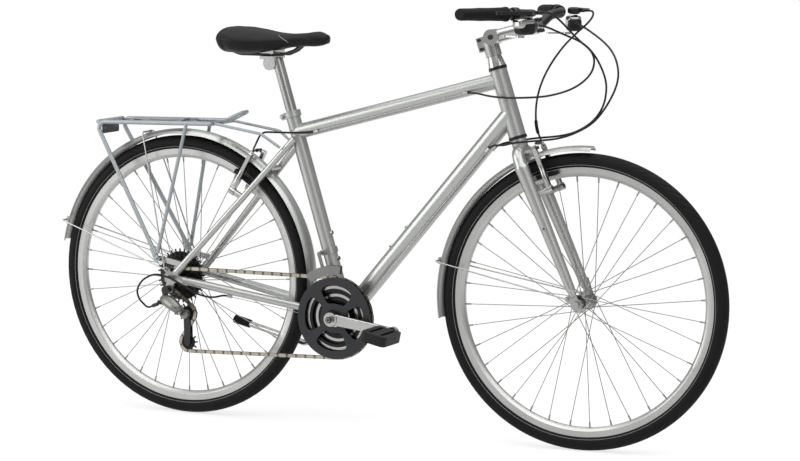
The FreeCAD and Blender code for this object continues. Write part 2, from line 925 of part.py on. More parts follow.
def rear_stays(tubes):
    """Build the rear triangle: stays, dropouts, bridge and brake posts."""
    pieces = []
    stays = {}
    bridge_point = rear_axle + seatstay_way * float(s.seatstay_bridge_distance)
    for sign in SIDES.values():
        plate_piece = dropout(sign)
        low = pipe(chainstay_points(sign), s.chainstay_diameter, s.chainstay_bend)
        high = pipe(seatstay_points(sign), s.seatstay_diameter, s.seatstay_bend)
        post_foot = sideways(
            rear_axle + seatstay_way * float(s.rear_post_distance), sign * s.brake_post_half_spacing
        )
        pieces.append(plate_piece)
        pieces.append(cut(low, tubes["shell"], plate_piece))
        pieces.append(cut(high, tubes["seat"], tubes["top"], plate_piece, low))
        pieces.append(cut(brake_post(post_foot, rear_brake_out, s.rear_post_lift), high))
        stays[sign] = high
    bridge = barrel(bridge_point, AXIS_Y, s.bridge_diameter, 2 * s.seatstay_brake_half_gap)
    inner = sideways(bridge_point, 0)
    bridge_cut = cut(bridge, stays[-1], stays[1])
    middle = block(
        Placement(inner, Rotation()),
        s.cutter_margin * 2,
        2 * s.seatstay_top_half_gap,
        s.cutter_margin * 2,
    )
    kept = doc.addObject("Part::MultiCommon", "bridge")
    kept.Shapes = [bridge_cut, middle]
    pieces.append(kept)
    node("rear_triangle", pieces)


def bearing_cups():
    """The headset cups and bottom bracket cups."""
    bore = s.steerer_diameter / 2 + s.running_fit
    spigot = s.head_tube_bore / 2 - s.seat_gap
    rim = s.headset_cup_diameter / 2
    deep = s.headset_spigot_depth
    tall = s.headset_cup_height
    profile = [
        (bore, -deep),
        (spigot, -deep),
        (spigot, s.seat_gap),
        (rim, s.seat_gap),
        (rim, tall),
        (bore, tall),
    ]
    upper = turned([profile], Placement(steer(head_end), Rotation(AXIS_Y, steer_way)))
    lower = turned([profile], Placement(steer(s.head_tube_start), Rotation(AXIS_Y, -steer_way)))
    pieces = [upper, lower]
    for sign in SIDES.values():
        hole = s.spindle_diameter / 2 + s.running_fit
        neck = s.shell_bore / 2 - s.seat_gap
        flange = s.bracket_cup_diameter / 2
        outline = [
            (hole, -s.bracket_cup_depth),
            (neck, -s.bracket_cup_depth),
            (neck, s.seat_gap),
            (flange, s.seat_gap),
            (flange, s.bracket_cup_rim),
            (hole, s.bracket_cup_rim),
        ]
        place = Placement(sideways(bracket, sign * s.shell_width / 2), Rotation(AXIS_Y, AXIS_Y * sign))
        pieces.append(turned([outline], place))
    node("bearing_cups", pieces)


def seat_clamp():
    """The collar at the top of the seat tube with its bolt."""
    middle = seat(s.seat_tube_length - s.seat_clamp_height / 2)
    back = Vector(-seat_way.z, 0, seat_way.x)
    hole = s.seat_tube_diameter + 2 * s.seat_gap
    body = barrel(middle, seat_way, s.seat_clamp_diameter, s.seat_clamp_height)
    ear_middle = middle + back * float(s.seat_clamp_diameter / 2 + s.seat_clamp_ear_length / 4)
    ear = block(
        framed(ear_middle, back, seat_way),
        s.seat_clamp_ear_length,
        s.seat_clamp_ear_width,
        s.seat_clamp_height,
    )
    slot = block(
        framed(ear_middle, back, seat_way),
        s.seat_clamp_diameter,
        s.clamp_bolt_diameter / 2,
        s.cutter_margin,
    )
    bolt_point = ear_middle + back * float(s.seat_clamp_ear_length / 6)
    through = barrel(
        bolt_point,
        AXIS_Y,
        s.clamp_bolt_diameter + 2 * s.seat_gap,
        s.seat_clamp_ear_width + s.cutter_margin,
    )
    bore = barrel(middle, seat_way, hole, s.seat_clamp_height + s.cutter_margin)
    collar = cut(fuse(body, ear), slot, bore, through)
    shank = barrel(bolt_point, AXIS_Y, s.clamp_bolt_diameter, s.seat_clamp_ear_width + 2 * s.seat_gap)
    head_side = s.seat_clamp_ear_width / 2 + s.seat_gap
    heads = [
        stub(
            sideways(bolt_point, sign * head_side),
            AXIS_Y * sign,
            s.clamp_bolt_head_diameter,
            s.clamp_bolt_head_height,
        )
        for sign in SIDES.values()
    ]
    node("seat_clamp", [collar, fuse(shank, *heads)])


def axis_point(start, end, run):
    """A point a distance along a line from its start."""
    return start + (end - start).normalize() * float(run)


def cable_stop(base, along, outward, gap):
    """A cable stop standing on a tube, its bore along the tube."""
    lift = s.cable_stop_diameter / 2 + gap
    middle = base + outward * float(lift)
    body = barrel(middle, along, s.cable_stop_diameter, s.cable_stop_length)
    foot = block(
        framed(base + outward * float(lift / 2), along, outward),
        s.cable_stop_length,
        s.cable_stop_bore,
        lift,
    )
    wire = barrel(middle, along, s.cable_wire_bore, s.cutter_margin)
    seat_hole = stub(middle, along, s.cable_stop_bore, s.cable_stop_length)
    return cut(fuse(body, foot), wire, seat_hole), middle


def frame_fittings(tubes):
    """Bottle bosses and cable stops on the frame tubes."""
    pieces = []
    down_end = steer(s.head_tube_start + s.down_tube_head_rise)
    down_way = (down_end - bracket).normalize()
    down_up = Vector(-down_way.z, 0, down_way.x)
    seat_front = Vector(seat_way.z, 0, -seat_way.x)
    rows = (
        (bracket, seat_way, seat_front, s.seat_boss_rise, s.seat_tube_diameter, tubes["seat"]),
        (bracket, down_way, down_up, s.down_boss_rise, s.down_tube_diameter, tubes["down"]),
    )
    for start, way, outward, rise, tube_size, tube in rows:
        for step in range(2):
            base = start + way * float(rise + step * s.bottle_boss_spacing)
            tall = tube_size / 2 + s.bottle_boss_height
            boss = stub(base, outward, s.bottle_boss_diameter, tall)
            hole = stub(base, outward, s.bottle_boss_bore, tall + s.cutter_margin)
            pieces.append(cut(boss, hole, tube))
    top_rear = seat(s.top_tube_seat_rise)
    top_front = steer(head_end - s.top_tube_head_drop)
    top_way = (top_front - top_rear).normalize()
    top_down = Rotation(top_way, 180).multVec(Vector(-top_way.z, 0, top_way.x))
    stops = {}
    side_way = Rotation(top_way, -float(s.top_stop_turn)).multVec(top_down)
    for key, base, along in (
        ("top_front", top_front - top_way * float(s.top_stop_front_run), top_way),
        ("top_rear", top_rear + top_way * float(s.top_stop_rear_run), -top_way),
    ):
        body, middle = cable_stop(
            base + side_way * float(s.top_tube_diameter / 2), along, side_way, s.seat_gap
        )
        pieces.append(cut(body, tubes["top"]))
        stops[key] = middle
    under = -down_up
    for key, sign in SIDES.items():
        outward = Rotation(down_way, sign * float(s.down_stop_turn)).multVec(under)
        base = down_end - down_way * float(s.down_stop_run)
        body, middle = cable_stop(
            base + outward * float(s.down_tube_diameter / 2), down_way, outward, s.seat_gap
        )
        pieces.append(cut(body, tubes["down"]))
        stops["down_" + key] = middle
    stay = chainstay_points(-1)
    lower_way = (stay[3] - stay[2]).normalize()
    base = stay[2] + lower_way * float(s.chainstay_stop_distance - s.chainstay_widen)
    drop = Vector(-AXIS_Z)
    body, middle = cable_stop(
        base + drop * float(s.chainstay_diameter / 2 + s.moving_gap), lower_way, drop, s.seat_gap
    )
    pieces.append(body)
    stops["chainstay"] = middle
    node("frame_fittings", pieces)
    return stops


def seat_post():
    """The seat post with its set-back head and rail clamp."""
    low = seat(s.seat_tube_length - s.seat_post_insert)
    high = seat(s.seat_tube_length + s.seat_post_rise)
    rail_level = float(s.saddle_height) + float(s.saddle_rail_diameter) / 2
    head = Vector(
        high.x - s.post_head_setback,
        0,
        s.saddle_height - s.post_cradle_thickness - s.post_head_diameter / 3,
    )
    under = Vector(head.x, 0, s.saddle_height - s.post_cradle_thickness / 2 - s.seat_gap)
    over = Vector(
        head.x,
        0,
        s.saddle_height + s.saddle_rail_diameter + s.post_cradle_thickness / 2 + s.seat_gap,
    )
    tube = rod(low, high, s.seat_post_diameter)
    hollow = rod(
        low, axis_point(low, high, s.seat_post_insert), s.seat_post_diameter - 2 * s.seat_post_wall
    )
    neck = cone(
        high - seat_way * float(s.post_head_setback),
        head,
        s.seat_post_diameter,
        s.post_head_diameter * 0.8,
    )
    knuckle = barrel(head, AXIS_Y, s.post_head_diameter, s.post_head_width)
    cradle = block(
        Placement(under, Rotation()),
        s.post_cradle_length,
        s.post_cradle_width,
        s.post_cradle_thickness,
    )
    body = cut(fuse(tube, neck, knuckle, cradle), hollow)
    trimmed = block(
        Placement(
            Vector(
                head.x,
                0,
                rail_level + float(s.post_head_diameter) / 2 - float(s.saddle_rail_diameter) / 2,
            ),
            Rotation(),
        ),
        s.post_head_diameter * 2,
        s.post_cradle_width * 2,
        s.post_head_diameter,
    )
    post = cut(body, trimmed)
    cap = block(
        Placement(over, Rotation()),
        s.post_cradle_length,
        s.post_cradle_width,
        s.post_cradle_thickness,
    )
    bolt = rod(
        Vector(head.x, 0, s.saddle_height),
        over + AXIS_Z * float(s.post_cradle_thickness),
        s.clamp_bolt_diameter,
    )
    top = stub(
        over + AXIS_Z * float(s.post_cradle_thickness / 2),
        AXIS_Z,
        s.clamp_bolt_head_diameter,
        s.clamp_bolt_head_height,
    )
    node("seat_post", [post, fuse(cap, bolt, top)])
    return head


# share of length, then half width, lower edge, side line and crown
SADDLE_SHARES = (
    (0.000, 0.17, 0.41, 0.59, 0.74),
    (0.045, 0.38, 0.19, 0.59, 0.94),
    (0.150, 0.49, 0.09, 0.57, 1.00),
    (0.320, 0.50, 0.07, 0.51, 0.94),
    (0.480, 0.38, 0.16, 0.51, 0.84),
    (0.640, 0.235, 0.30, 0.55, 0.80),
    (0.800, 0.165, 0.36, 0.59, 0.84),
    (0.930, 0.135, 0.39, 0.62, 0.88),
    (1.000, 0.070, 0.48, 0.62, 0.77),
)
SADDLE_FLOOR_SHARE = 0.8


def saddle_spot(share, half, level):
    """A point of the saddle from its shares of length, width and depth."""
    return Vector(
        share * s.saddle_length - s.saddle_tail_reach,
        half * s.saddle_width,
        s.saddle_height + level * s.saddle_cover_depth,
    )


def saddle_section(share, half, low, line, crown):
    """One closed cross-section of the cover: floor, two sides and the crown."""
    floor_half = SADDLE_FLOOR_SHARE * half
    right_floor, left_floor = saddle_spot(share, -floor_half, low), saddle_spot(share, floor_half, low)
    left_line, right_line = saddle_spot(share, half, line), saddle_spot(share, -half, line)
    bow_level = 0.45 * line + 0.55 * low
    bow_half = 0.55 * half + 0.45 * floor_half + 0.06 * half
    return Part.Wire([
        Part.LineSegment(right_floor, left_floor).toShape(),
        Part.Arc(left_floor, saddle_spot(share, bow_half, bow_level), left_line).toShape(),
        Part.Arc(left_line, saddle_spot(share, 0, crown), right_line).toShape(),
        Part.Arc(right_line, saddle_spot(share, -bow_half, bow_level), right_floor).toShape(),
    ])


def saddle_slab(share, half, line, drop, gap, thickness):
    """One square cross-section inside the cover."""
    reach = SADDLE_FLOOR_SHARE * half * s.saddle_width - s.saddle_cover_wall - gap
    top = saddle_spot(share, 0, line - drop)
    high = float(top.z - gap)
    low = high - float(thickness)
    corners = [(-reach, low), (reach, low), (reach, high), (-reach, high)]
    points = [Vector(top.x, y, z) for y, z in corners]
    return Part.makePolygon(points + points[:1])


SADDLE_LINE_DROP_SHARE = 0.02


def saddle():
    """The saddle: padded cover, moulded base and rails."""
    cover = Part.makeLoft([saddle_section(*row) for row in SADDLE_SHARES], True)
    hollow_rows = SADDLE_SHARES[1:-1]
    drop = SADDLE_LINE_DROP_SHARE
    hollow = [saddle_slab(row[0], row[1], row[3], drop, 0, s.saddle_cover_depth) for row in hollow_rows]
    node("saddle_cover", [made(cover.cut(Part.makeLoft(hollow, True, True)))])
    gap = s.part_gap
    base_rows = SADDLE_SHARES[2:-2]
    slabs = [saddle_slab(row[0], row[1], row[3], drop, gap, s.saddle_base_thickness) for row in base_rows]
    node("saddle_base", [made(Part.makeLoft(slabs, True, True))])
    rails = []
    level = s.saddle_height + s.saddle_rail_diameter / 2
    rise = s.rail_end_rise
    stations = (
        (s.rail_rear_reach, s.rail_rear_half_gap, rise),
        (s.rail_rear_bend_reach, s.rail_rear_half_gap, rise * 0.2),
        (s.rail_rear_flat_reach, s.saddle_rail_half_gap, 0),
        (s.rail_front_flat_reach, s.saddle_rail_half_gap, 0),
        (s.rail_front_bend_reach, s.rail_nose_half_gap * 1.6, rise * 0.42),
        (s.rail_nose_reach, s.rail_nose_half_gap, rise),
    )
    for sign in SIDES.values():
        points = [Vector(-x, sign * y, level + z) for x, y, z in stations]
        rails.append(pipe(points, s.saddle_rail_diameter, s.rail_bend))
    node("saddle_rails", rails)


def sprocket_radius(teeth):
    """The chain line radius of a sprocket."""
    return teeth * s.chain_pitch / (2 * math.pi)


def toothed(teeth, thickness, bore, centre, phase):
    """A toothed disc about the bike's Y direction, one valley at the phase angle."""
    line = sprocket_radius(teeth)
    root = line - s.roller_diameter / 2 - s.tooth_root_gap
    tip = line + s.tooth_rise
    step = 2 * math.pi / teeth
    valley_share, tip_share = 0.30, 0.39
    points = []
    for i in range(teeth):
        for share, radius in (
            (-tip_share, tip), (-valley_share, root), (valley_share, root), (tip_share, tip)
        ):
            angle = phase + (i + share) * step
            points.append((math.cos(angle) * radius, math.sin(angle) * radius))
    place = framed(centre, AXIS_X, -AXIS_Y)
    disc = plate(points, thickness, place)
    return cut(disc, barrel(centre, AXIS_Y, bore, thickness + s.cutter_margin))


BIG_TEETH, MIDDLE_TEETH, SMALL_TEETH = 48, 36, 26
COG_TEETH = (12, 14, 16, 18, 21, 24, 28, 32)
PULLEY_TEETH = 11


class ChainPath:
    """The closed line of the chain round ring, two pulleys and cog, seen from the drive side."""

    def __init__(self, cage_angle):
        guide = rear_axle + Vector(s.guide_pulley_ahead, 0, -s.guide_pulley_drop)
        drop = Vector(math.sin(cage_angle), 0, -math.cos(cage_angle)) * float(s.cage_length)
        self.guide = sideways(guide, -s.pulley_offset)
        self.tension = sideways(guide + drop, -s.pulley_offset)
        wheels = (
            (bracket, BIG_TEETH, -1, s.ring_offset),
            (self.tension, PULLEY_TEETH, -1, s.pulley_offset),
            (self.guide, PULLEY_TEETH, 1, s.pulley_offset),
            (rear_axle, COG_TEETH[0], -1, s.first_cog_offset),
        )
        self.wheels = [(p.x, p.z, float(sprocket_radius(n)), turn, -float(y)) for p, n, turn, y in wheels]
        self.runs = self.lay()
        self.length = sum(run[0] for run in self.runs)

    @staticmethod
    def tangent(first, second):
        """The contact angles of the chain run from one wheel to the next."""
        dx, dz = second[0] - first[0], second[1] - first[1]
        gap = math.hypot(dx, dz)
        heading = math.atan2(dz, dx)
        lean = math.asin((first[2] * first[3] - second[2] * second[3]) / gap)
        way = heading + lean
        leave = way - first[3] * math.pi / 2
        meet = way - second[3] * math.pi / 2
        return leave, meet

    def lay(self):
        """Lay arcs and straight runs in the order the chain passes them."""
        count = len(self.wheels)
        links = [self.tangent(self.wheels[i], self.wheels[(i + 1) % count]) for i in range(count)]
        runs = []
        for i, wheel in enumerate(self.wheels):
            start = links[i - 1][1]
            sweep = (links[i][0] - start) * wheel[3] % (2 * math.pi)
            runs.append((sweep * wheel[2], "arc", wheel, start))
            after = self.wheels[(i + 1) % count]
            a = self.spot(wheel, links[i][0])
            b = self.spot(after, links[i][1])
            runs.append(((b - a).Length, "line", a, b))
        return runs

    @staticmethod
    def spot(wheel, angle):
        """A point on a wheel's chain line."""
        return Vector(
            wheel[0] + wheel[2] * math.cos(angle), wheel[4], wheel[1] + wheel[2] * math.sin(angle)
        )

    def at(self, distance):
        """The point a distance along the chain."""
        left = distance % self.length
        for run in self.runs:
            if left <= run[0]:
                if run[1] == "line":
                    return run[2] + (run[3] - run[2]) * (left / run[0])
                return self.spot(run[2], run[3] + run[2][3] * left / run[2][2])
            left -= run[0]
        return self.at(0)


def fitted_chain():
    """Swing the cage until the chain holds a whole even number of links."""
    low, high = math.radians(-20), math.radians(60)
    middle = ChainPath(math.radians(7)).length / s.chain_pitch
    count = 2 * round(middle / 2)
    target = float(count * s.chain_pitch)
    for _ in range(60):
        angle = (low + high) / 2
        if ChainPath(angle).length > target:
            low = angle
        else:
            high = angle
    return ChainPath((low + high) / 2), count


chain_path, link_count = fitted_chain()


def sprocket_phase(index, centre):
    """The angle of a tooth valley so that it holds a chain pin."""
    walked = sum(run[0] for run in chain_path.runs[: 2 * index])
    pins = math.ceil(walked / s.chain_pitch + 0.5)
    pin = chain_path.at(pins * float(s.chain_pitch))
    return math.atan2(pin.z - centre.z, pin.x - centre.x)


def pill(pitch, height):
    """The outline points of a chain side plate."""
    half, tall = pitch / 2, height / 2
    return [(-half - tall, -tall), (half + tall, -tall), (half + tall, tall), (-half - tall, tall)]


def link_shapes():
    """One inner and one outer link, centred, lying along local X with pins along local Z."""
    pitch, height, thick = float(s.chain_pitch), float(s.link_plate_height), float(s.link_plate_thickness)
    pin, play = float(s.link_pin_diameter) / 2, float(s.link_pin_play)
    inner_half = float(s.roller_width) / 2
    outer_half = inner_half + thick + float(s.link_plate_gap)
    flat = [Vector(x, y, 0) for x, y in pill(pitch, height)]
    face = Part.Face(Part.Wire(rounded_edges(flat, height / 2 * 0.998, closed=True)))

    def side(level):
        return face.translated(Vector(0, 0, level)).extrude(Vector(0, 0, thick))

    ends = [Vector(-pitch / 2, 0, 0), Vector(pitch / 2, 0, 0)]
    inner = side(inner_half).fuse(side(-inner_half - thick))
    outer = side(outer_half).fuse(side(-outer_half - thick))
    for end in ends:
        roller = Part.makeCylinder(
            float(s.roller_diameter) / 2, 2 * inner_half, end - Vector(0, 0, inner_half)
        )
        inner = inner.fuse(roller)
        shaft = Part.makeCylinder(pin, 2 * (outer_half + thick), end - Vector(0, 0, outer_half + thick))
        outer = outer.fuse(shaft)
    for end in ends:
        inner = inner.cut(Part.makeCylinder(pin + play, 4 * outer_half, end - Vector(0, 0, 2 * outer_half)))
    return inner.removeSplitter(), outer.removeSplitter()


def chain():
    """The chain: alternating inner and outer links along its line."""
    shapes = link_shapes()
    pins = [chain_path.at(i * float(s.chain_pitch)) for i in range(link_count)]
    links = []
    for i, start in enumerate(pins):
        end = pins[(i + 1) % link_count]
        link = shapes[i % 2].copy()
        link.Placement = framed((start + end) * 0.5, end - start, AXIS_Y)
        links.append(link)
    node("chain", [made(Part.Compound(links))])


def cassette():
    """The cogs, their spacers, the freehub body and the lockring."""
    pieces = []
    phase = sprocket_phase(3, rear_axle)
    first = -s.first_cog_offset
    fit = s.freehub_diameter + 2 * s.seat_gap
    for i, teeth in enumerate(COG_TEETH):
        side = first + i * s.cog_spacing
        centre = sideways(rear_axle, side)
        pieces.append(toothed(teeth, s.cog_thickness, fit, centre, phase))
        if i:
            gap = s.cog_spacing - s.cog_thickness - 2 * s.seat_gap
            middle = sideways(rear_axle, side - s.cog_spacing / 2)
            pieces.append(ring(middle, AXIS_Y, s.cog_spacer_diameter, fit, gap))
    outer = first - s.cog_thickness / 2 - s.seat_gap
    inner = first + (len(COG_TEETH) - 1) * s.cog_spacing + s.cog_thickness
    bore = s.axle_diameter + 2 * s.running_fit
    body = ring(sideways(rear_axle, (outer + inner) / 2), AXIS_Y, s.freehub_diameter, bore, inner - outer)
    cap_width = s.cog_thickness
    cap = ring(sideways(rear_axle, outer - cap_width / 2), AXIS_Y, s.lockring_diameter, bore, cap_width)
    pieces.append(fuse(body, cap))
    node("cassette", pieces)
    return inner


def wheel(name, axle, hub_profile, flanges, place, start_angle):
    """One wheel: tyre, rim, laced spokes and hub."""
    section = s.tyre_width / 2
    outer = doc.addObject("Part::Torus", "tyre_outer")
    bind(outer, "Radius1", wheel_radius - section)
    bind(outer, "Radius2", section)
    inner = doc.addObject("Part::Torus", "tyre_inner")
    bind(inner, "Radius1", wheel_radius - section)
    bind(inner, "Radius2", section - s.tyre_wall)
    for piece in (outer, inner):
        piece.Placement = aimed(axle, AXIS_Y)
    bead = barrel(axle, AXIS_Y, 2 * (s.rim_seat_radius + s.tyre_bead_lift), s.tyre_width + s.cutter_margin)
    node(f"{name}_tyre", [cut(outer, inner, bead)], place)
    edge = s.rim_seat_radius + s.rim_flange_lift
    half = s.rim_width / 2
    outside = ((0, 1), (0.62, 0.97), (0.86, 0.68), (1, 0.30))
    well = ((0, 0.86), (0.22, 0.84), (0.30, 0.50), (0.36, 0.22))
    hollow = ((0.44, 0.22), (0.38, 0.52), (0.34, 0.84), (0.60, 0.85), (0.80, 0.58), (0.92, 0.24))
    shell = [(edge - depth * s.rim_depth, wide * half) for depth, wide in outside]
    shell += [(edge - depth * s.rim_depth, -wide * half) for depth, wide in reversed(outside)]
    shell += [(edge - depth * s.rim_depth, -wide * half) for depth, wide in well]
    shell += [(edge - depth * s.rim_depth, wide * half) for depth, wide in reversed(well)]
    core = [(edge - depth * s.rim_depth, wide * half) for depth, wide in hollow]
    core += [(edge - depth * s.rim_depth, -wide * half) for depth, wide in reversed(hollow)]
    rim_place = Placement(axle, Rotation())
    node(f"{name}_rim", [turned([shell, core], rim_place)], place)
    node(f"{name}_hub", [turned([hub_profile], rim_place)], place)
    node(f"{name}_spokes", spokes(axle, flanges, edge - s.rim_depth, start_angle), place)


SPOKES_PER_SIDE = 18
SPOKE_CROSS_SHARE = 3.0


def spokes(axle, flanges, rim_radius, start_angle):
    """Thirty-six spokes with nipples, crossed three times on each side."""
    pieces = []
    step = 2 * math.pi / SPOKES_PER_SIDE
    for side, (flange, flange_radius) in enumerate(flanges):
        outward = 1 if flange > 0 else -1
        for i in range(SPOKES_PER_SIDE):
            lead = 1 if i % 2 else -1
            rim_angle = start_angle + (i + 0.5 * side) * step
            hub_angle = rim_angle + lead * SPOKE_CROSS_SHARE * step
            offset = flange + outward * lead * s.spoke_lead_offset
            root = axle + Vector(
                math.cos(hub_angle) * flange_radius, offset, math.sin(hub_angle) * flange_radius
            )
            end_radius = rim_radius - s.part_gap / 2
            rim_side = outward * s.spoke_diameter * 1.5
            tip = axle + Vector(
                math.cos(rim_angle) * end_radius, rim_side, math.sin(rim_angle) * end_radius
            )
            wire = rod(root, tip, s.spoke_diameter)
            nipple = rod(tip + (root - tip).normalize() * float(s.nipple_length), tip, s.nipple_diameter)
            pieces.append(fuse(wire, nipple))
    return pieces


def hub_outline(left_end, right_end, left_flange, right_flange, flange_size, barrel_size, end_size):
    """The turned outline of a hub, radius against distance to the left."""
    bore = s.axle_diameter / 2 + s.running_fit
    thick = s.flange_thickness / 2
    return [
        (bore, -right_end),
        (end_size / 2, -right_end),
        (end_size / 2, -right_flange - thick),
        (flange_size / 2, -right_flange - thick),
        (flange_size / 2, -right_flange + thick),
        (barrel_size / 2, -right_flange + thick),
        (barrel_size / 2 * 0.86, (left_flange - right_flange) / 2),
        (barrel_size / 2, left_flange - thick),
        (flange_size / 2, left_flange - thick),
        (flange_size / 2, left_flange + thick),
        (end_size / 2, left_flange + thick),
        (end_size / 2, left_end),
        (bore, left_end),
    ]


def axle_set(axle, half_width, left_end, right_end, tip_thickness, lever_turn):
    """An axle with its cones, outer nut and quick-release lever."""
    reach = half_width + tip_thickness
    shaft = barrel(axle, AXIS_Y, s.axle_diameter, 2 * (reach + s.axle_nut_length / 2))
    pieces = [shaft]
    for sign, end in ((1, left_end), (-1, right_end)):
        inner = end + s.part_gap
        outer = half_width - s.seat_gap
        middle = sign * (inner + outer) / 2
        pieces.append(barrel(sideways(axle, middle), AXIS_Y, s.axle_nut_diameter, outer - inner))
        face = sideways(axle, sign * (reach + s.seat_gap))
        pieces.append(stub(face, AXIS_Y * sign, s.axle_nut_diameter, s.axle_nut_length))
    way = Vector(math.cos(lever_turn), 0, math.sin(lever_turn))
    start = sideways(axle, reach + s.axle_nut_length * 0.6)
    finish = start + way * float(s.skewer_lever_length) + AXIS_Y * float(s.skewer_lever_thickness)
    pieces.append(bar(start, finish, s.skewer_lever_width, s.skewer_lever_thickness, AXIS_Y))
    return fuse(*pieces)


crank_turn = math.radians(s.crank_rest_angle)
crank_way = Vector(math.cos(crank_turn), 0, math.sin(crank_turn))


def crank_arm(sign, way):
    """One crank arm from the spindle to the pedal eye."""
    across = Vector(-way.z, 0, way.x)
    boss_middle = sign * (s.crank_boss_offset + s.crank_boss_length / 2)
    eye_middle = sign * (s.crank_end_offset + s.crank_end_length / 2)
    boss_point = sideways(bracket, boss_middle)
    eye_point = sideways(bracket + way * float(s.crank_length), eye_middle)
    boss = barrel(boss_point, AXIS_Y, s.crank_boss_diameter, s.crank_boss_length)
    eye = barrel(eye_point, AXIS_Y, s.crank_end_diameter, s.crank_end_length)
    along = (eye_point - boss_point).normalize()
    face = along.cross(across)
    sections = []
    for point, width in ((boss_point, s.crank_arm_root_width), (eye_point, s.crank_arm_end_width)):
        half, thick = float(width) / 2, float(s.crank_arm_thickness) / 2
        corners = [(-half, -thick), (half, -thick), (half, thick), (-half, thick)]
        flat = [point + across * y + face * z for y, z in corners]
        sections.append(Part.Wire(rounded_edges(flat, thick * 0.8, closed=True)))
    blade = made(Part.makeLoft(sections, True))
    spindle_hole = barrel(bracket, AXIS_Y, s.spindle_diameter + 2 * s.seat_gap, 4 * s.crank_end_offset)
    pedal_hole = barrel(
        eye_point,
        AXIS_Y,
        s.pedal_axle_diameter + 2 * s.running_fit,
        s.crank_end_length + s.cutter_margin,
    )
    arm = cut(fuse(boss, eye, blade), spindle_hole, pedal_hole)
    return arm, sideways(
        bracket + way * float(s.crank_length), sign * (s.crank_end_offset + s.crank_end_length)
    )


def crankset():
    """The crank arms, chainrings, guard, spindle with bolts and both pedals."""
    phase = sprocket_phase(0, bracket)
    ways = {-1: crank_way, 1: crank_way * -1}
    names = {sign: name for name, sign in SIDES.items()}
    pedal_roots = {}
    for sign, way in ways.items():
        arm, pedal_roots[sign] = crank_arm(sign, way)
        node(f"crank_arm_{names[sign]}", [arm])
    reach = s.crank_boss_offset + s.crank_boss_length
    shaft = barrel(bracket, AXIS_Y, s.spindle_diameter, 2 * reach)
    bolts = [
        stub(sideways(bracket, sign * reach), AXIS_Y * sign, s.crank_bolt_diameter, s.crank_bolt_length)
        for sign in SIDES.values()
    ]
    node("crank_axle", [fuse(shaft, *bolts)])
    pieces = []
    rings = (
        (BIG_TEETH, s.ring_offset, s.big_ring_bore),
        (MIDDLE_TEETH, s.ring_offset - s.ring_spacing, s.middle_ring_bore),
        (SMALL_TEETH, s.ring_offset - 2 * s.ring_spacing, s.small_ring_bore),
    )
    for teeth, offset, bore in rings:
        pieces.append(toothed(teeth, s.ring_thickness, bore, sideways(bracket, -offset), phase))
    hole = barrel(bracket, AXIS_Y, s.spindle_diameter + 2 * s.seat_gap, 4 * s.crank_end_offset)
    inner = s.ring_offset - 2 * s.ring_spacing
    outer = s.crank_boss_offset - s.seat_gap
    hub = barrel(sideways(bracket, -(inner + outer) / 2), AXIS_Y, s.spider_hub_diameter, outer - inner)
    arm_side = -(s.ring_offset - s.ring_spacing / 2)
    arm_thick = s.ring_spacing - s.ring_thickness - 2 * s.seat_gap
    arms = [hub]
    small_gap = s.ring_spacing - s.ring_thickness - 2 * s.seat_gap
    for i in range(4):
        turn = crank_turn + math.radians(45 + 90 * i)
        way = Vector(math.cos(turn), 0, math.sin(turn))
        centre = sideways(bracket, arm_side)
        arms.append(
            bar(
                centre,
                centre + way * float(s.spider_arm_reach),
                s.spider_arm_width,
                arm_thick,
                AXIS_Y,
            ),
        )
        bolt_spot = sideways(bracket + way * float(s.spider_bolt_circle / 2), -(inner + s.ring_spacing / 2))
        pieces.append(barrel(bolt_spot, AXIS_Y, s.spider_bolt_diameter, small_gap))
        post = sideways(bracket + way * float(s.guard_bolt_circle / 2), 0)
        post_inner = s.ring_offset + s.ring_thickness / 2 + s.seat_gap
        post_outer = s.guard_offset - s.guard_thickness / 2 - s.seat_gap
        spot = sideways(post, -(post_inner + post_outer) / 2)
        pieces.append(barrel(spot, AXIS_Y, s.spider_bolt_diameter, post_outer - post_inner))
    pieces.append(cut(fuse(*arms), hole))
    node("chainrings", pieces)
    guard()
    for sign, root in pedal_roots.items():
        pedal(f"pedal_{names[sign]}", sign, root)


def guard():
    """The chain guard disc with four windows."""
    centre = sideways(bracket, -s.guard_offset)
    disc = barrel(centre, AXIS_Y, s.guard_diameter, s.guard_thickness)
    deep = s.guard_thickness + s.cutter_margin
    opening = barrel(centre, AXIS_Y, s.guard_diameter - 2 * s.guard_rim_width, deep)
    arms = [barrel(centre, AXIS_Y, s.guard_centre_diameter, s.guard_thickness)]
    for i in range(4):
        turn = crank_turn + math.radians(45 + 90 * i)
        way = Vector(math.cos(turn), 0, math.sin(turn))
        reach = (s.guard_diameter - s.guard_rim_width) / 2
        arms.append(bar(centre, centre + way * float(reach), s.guard_arm_width, s.guard_thickness, AXIS_Y))
    hole = barrel(centre, AXIS_Y, s.spider_hub_diameter + 2 * s.seat_gap, deep)
    node("chain_guard", [cut(fuse(cut(disc, opening), *arms), hole)])


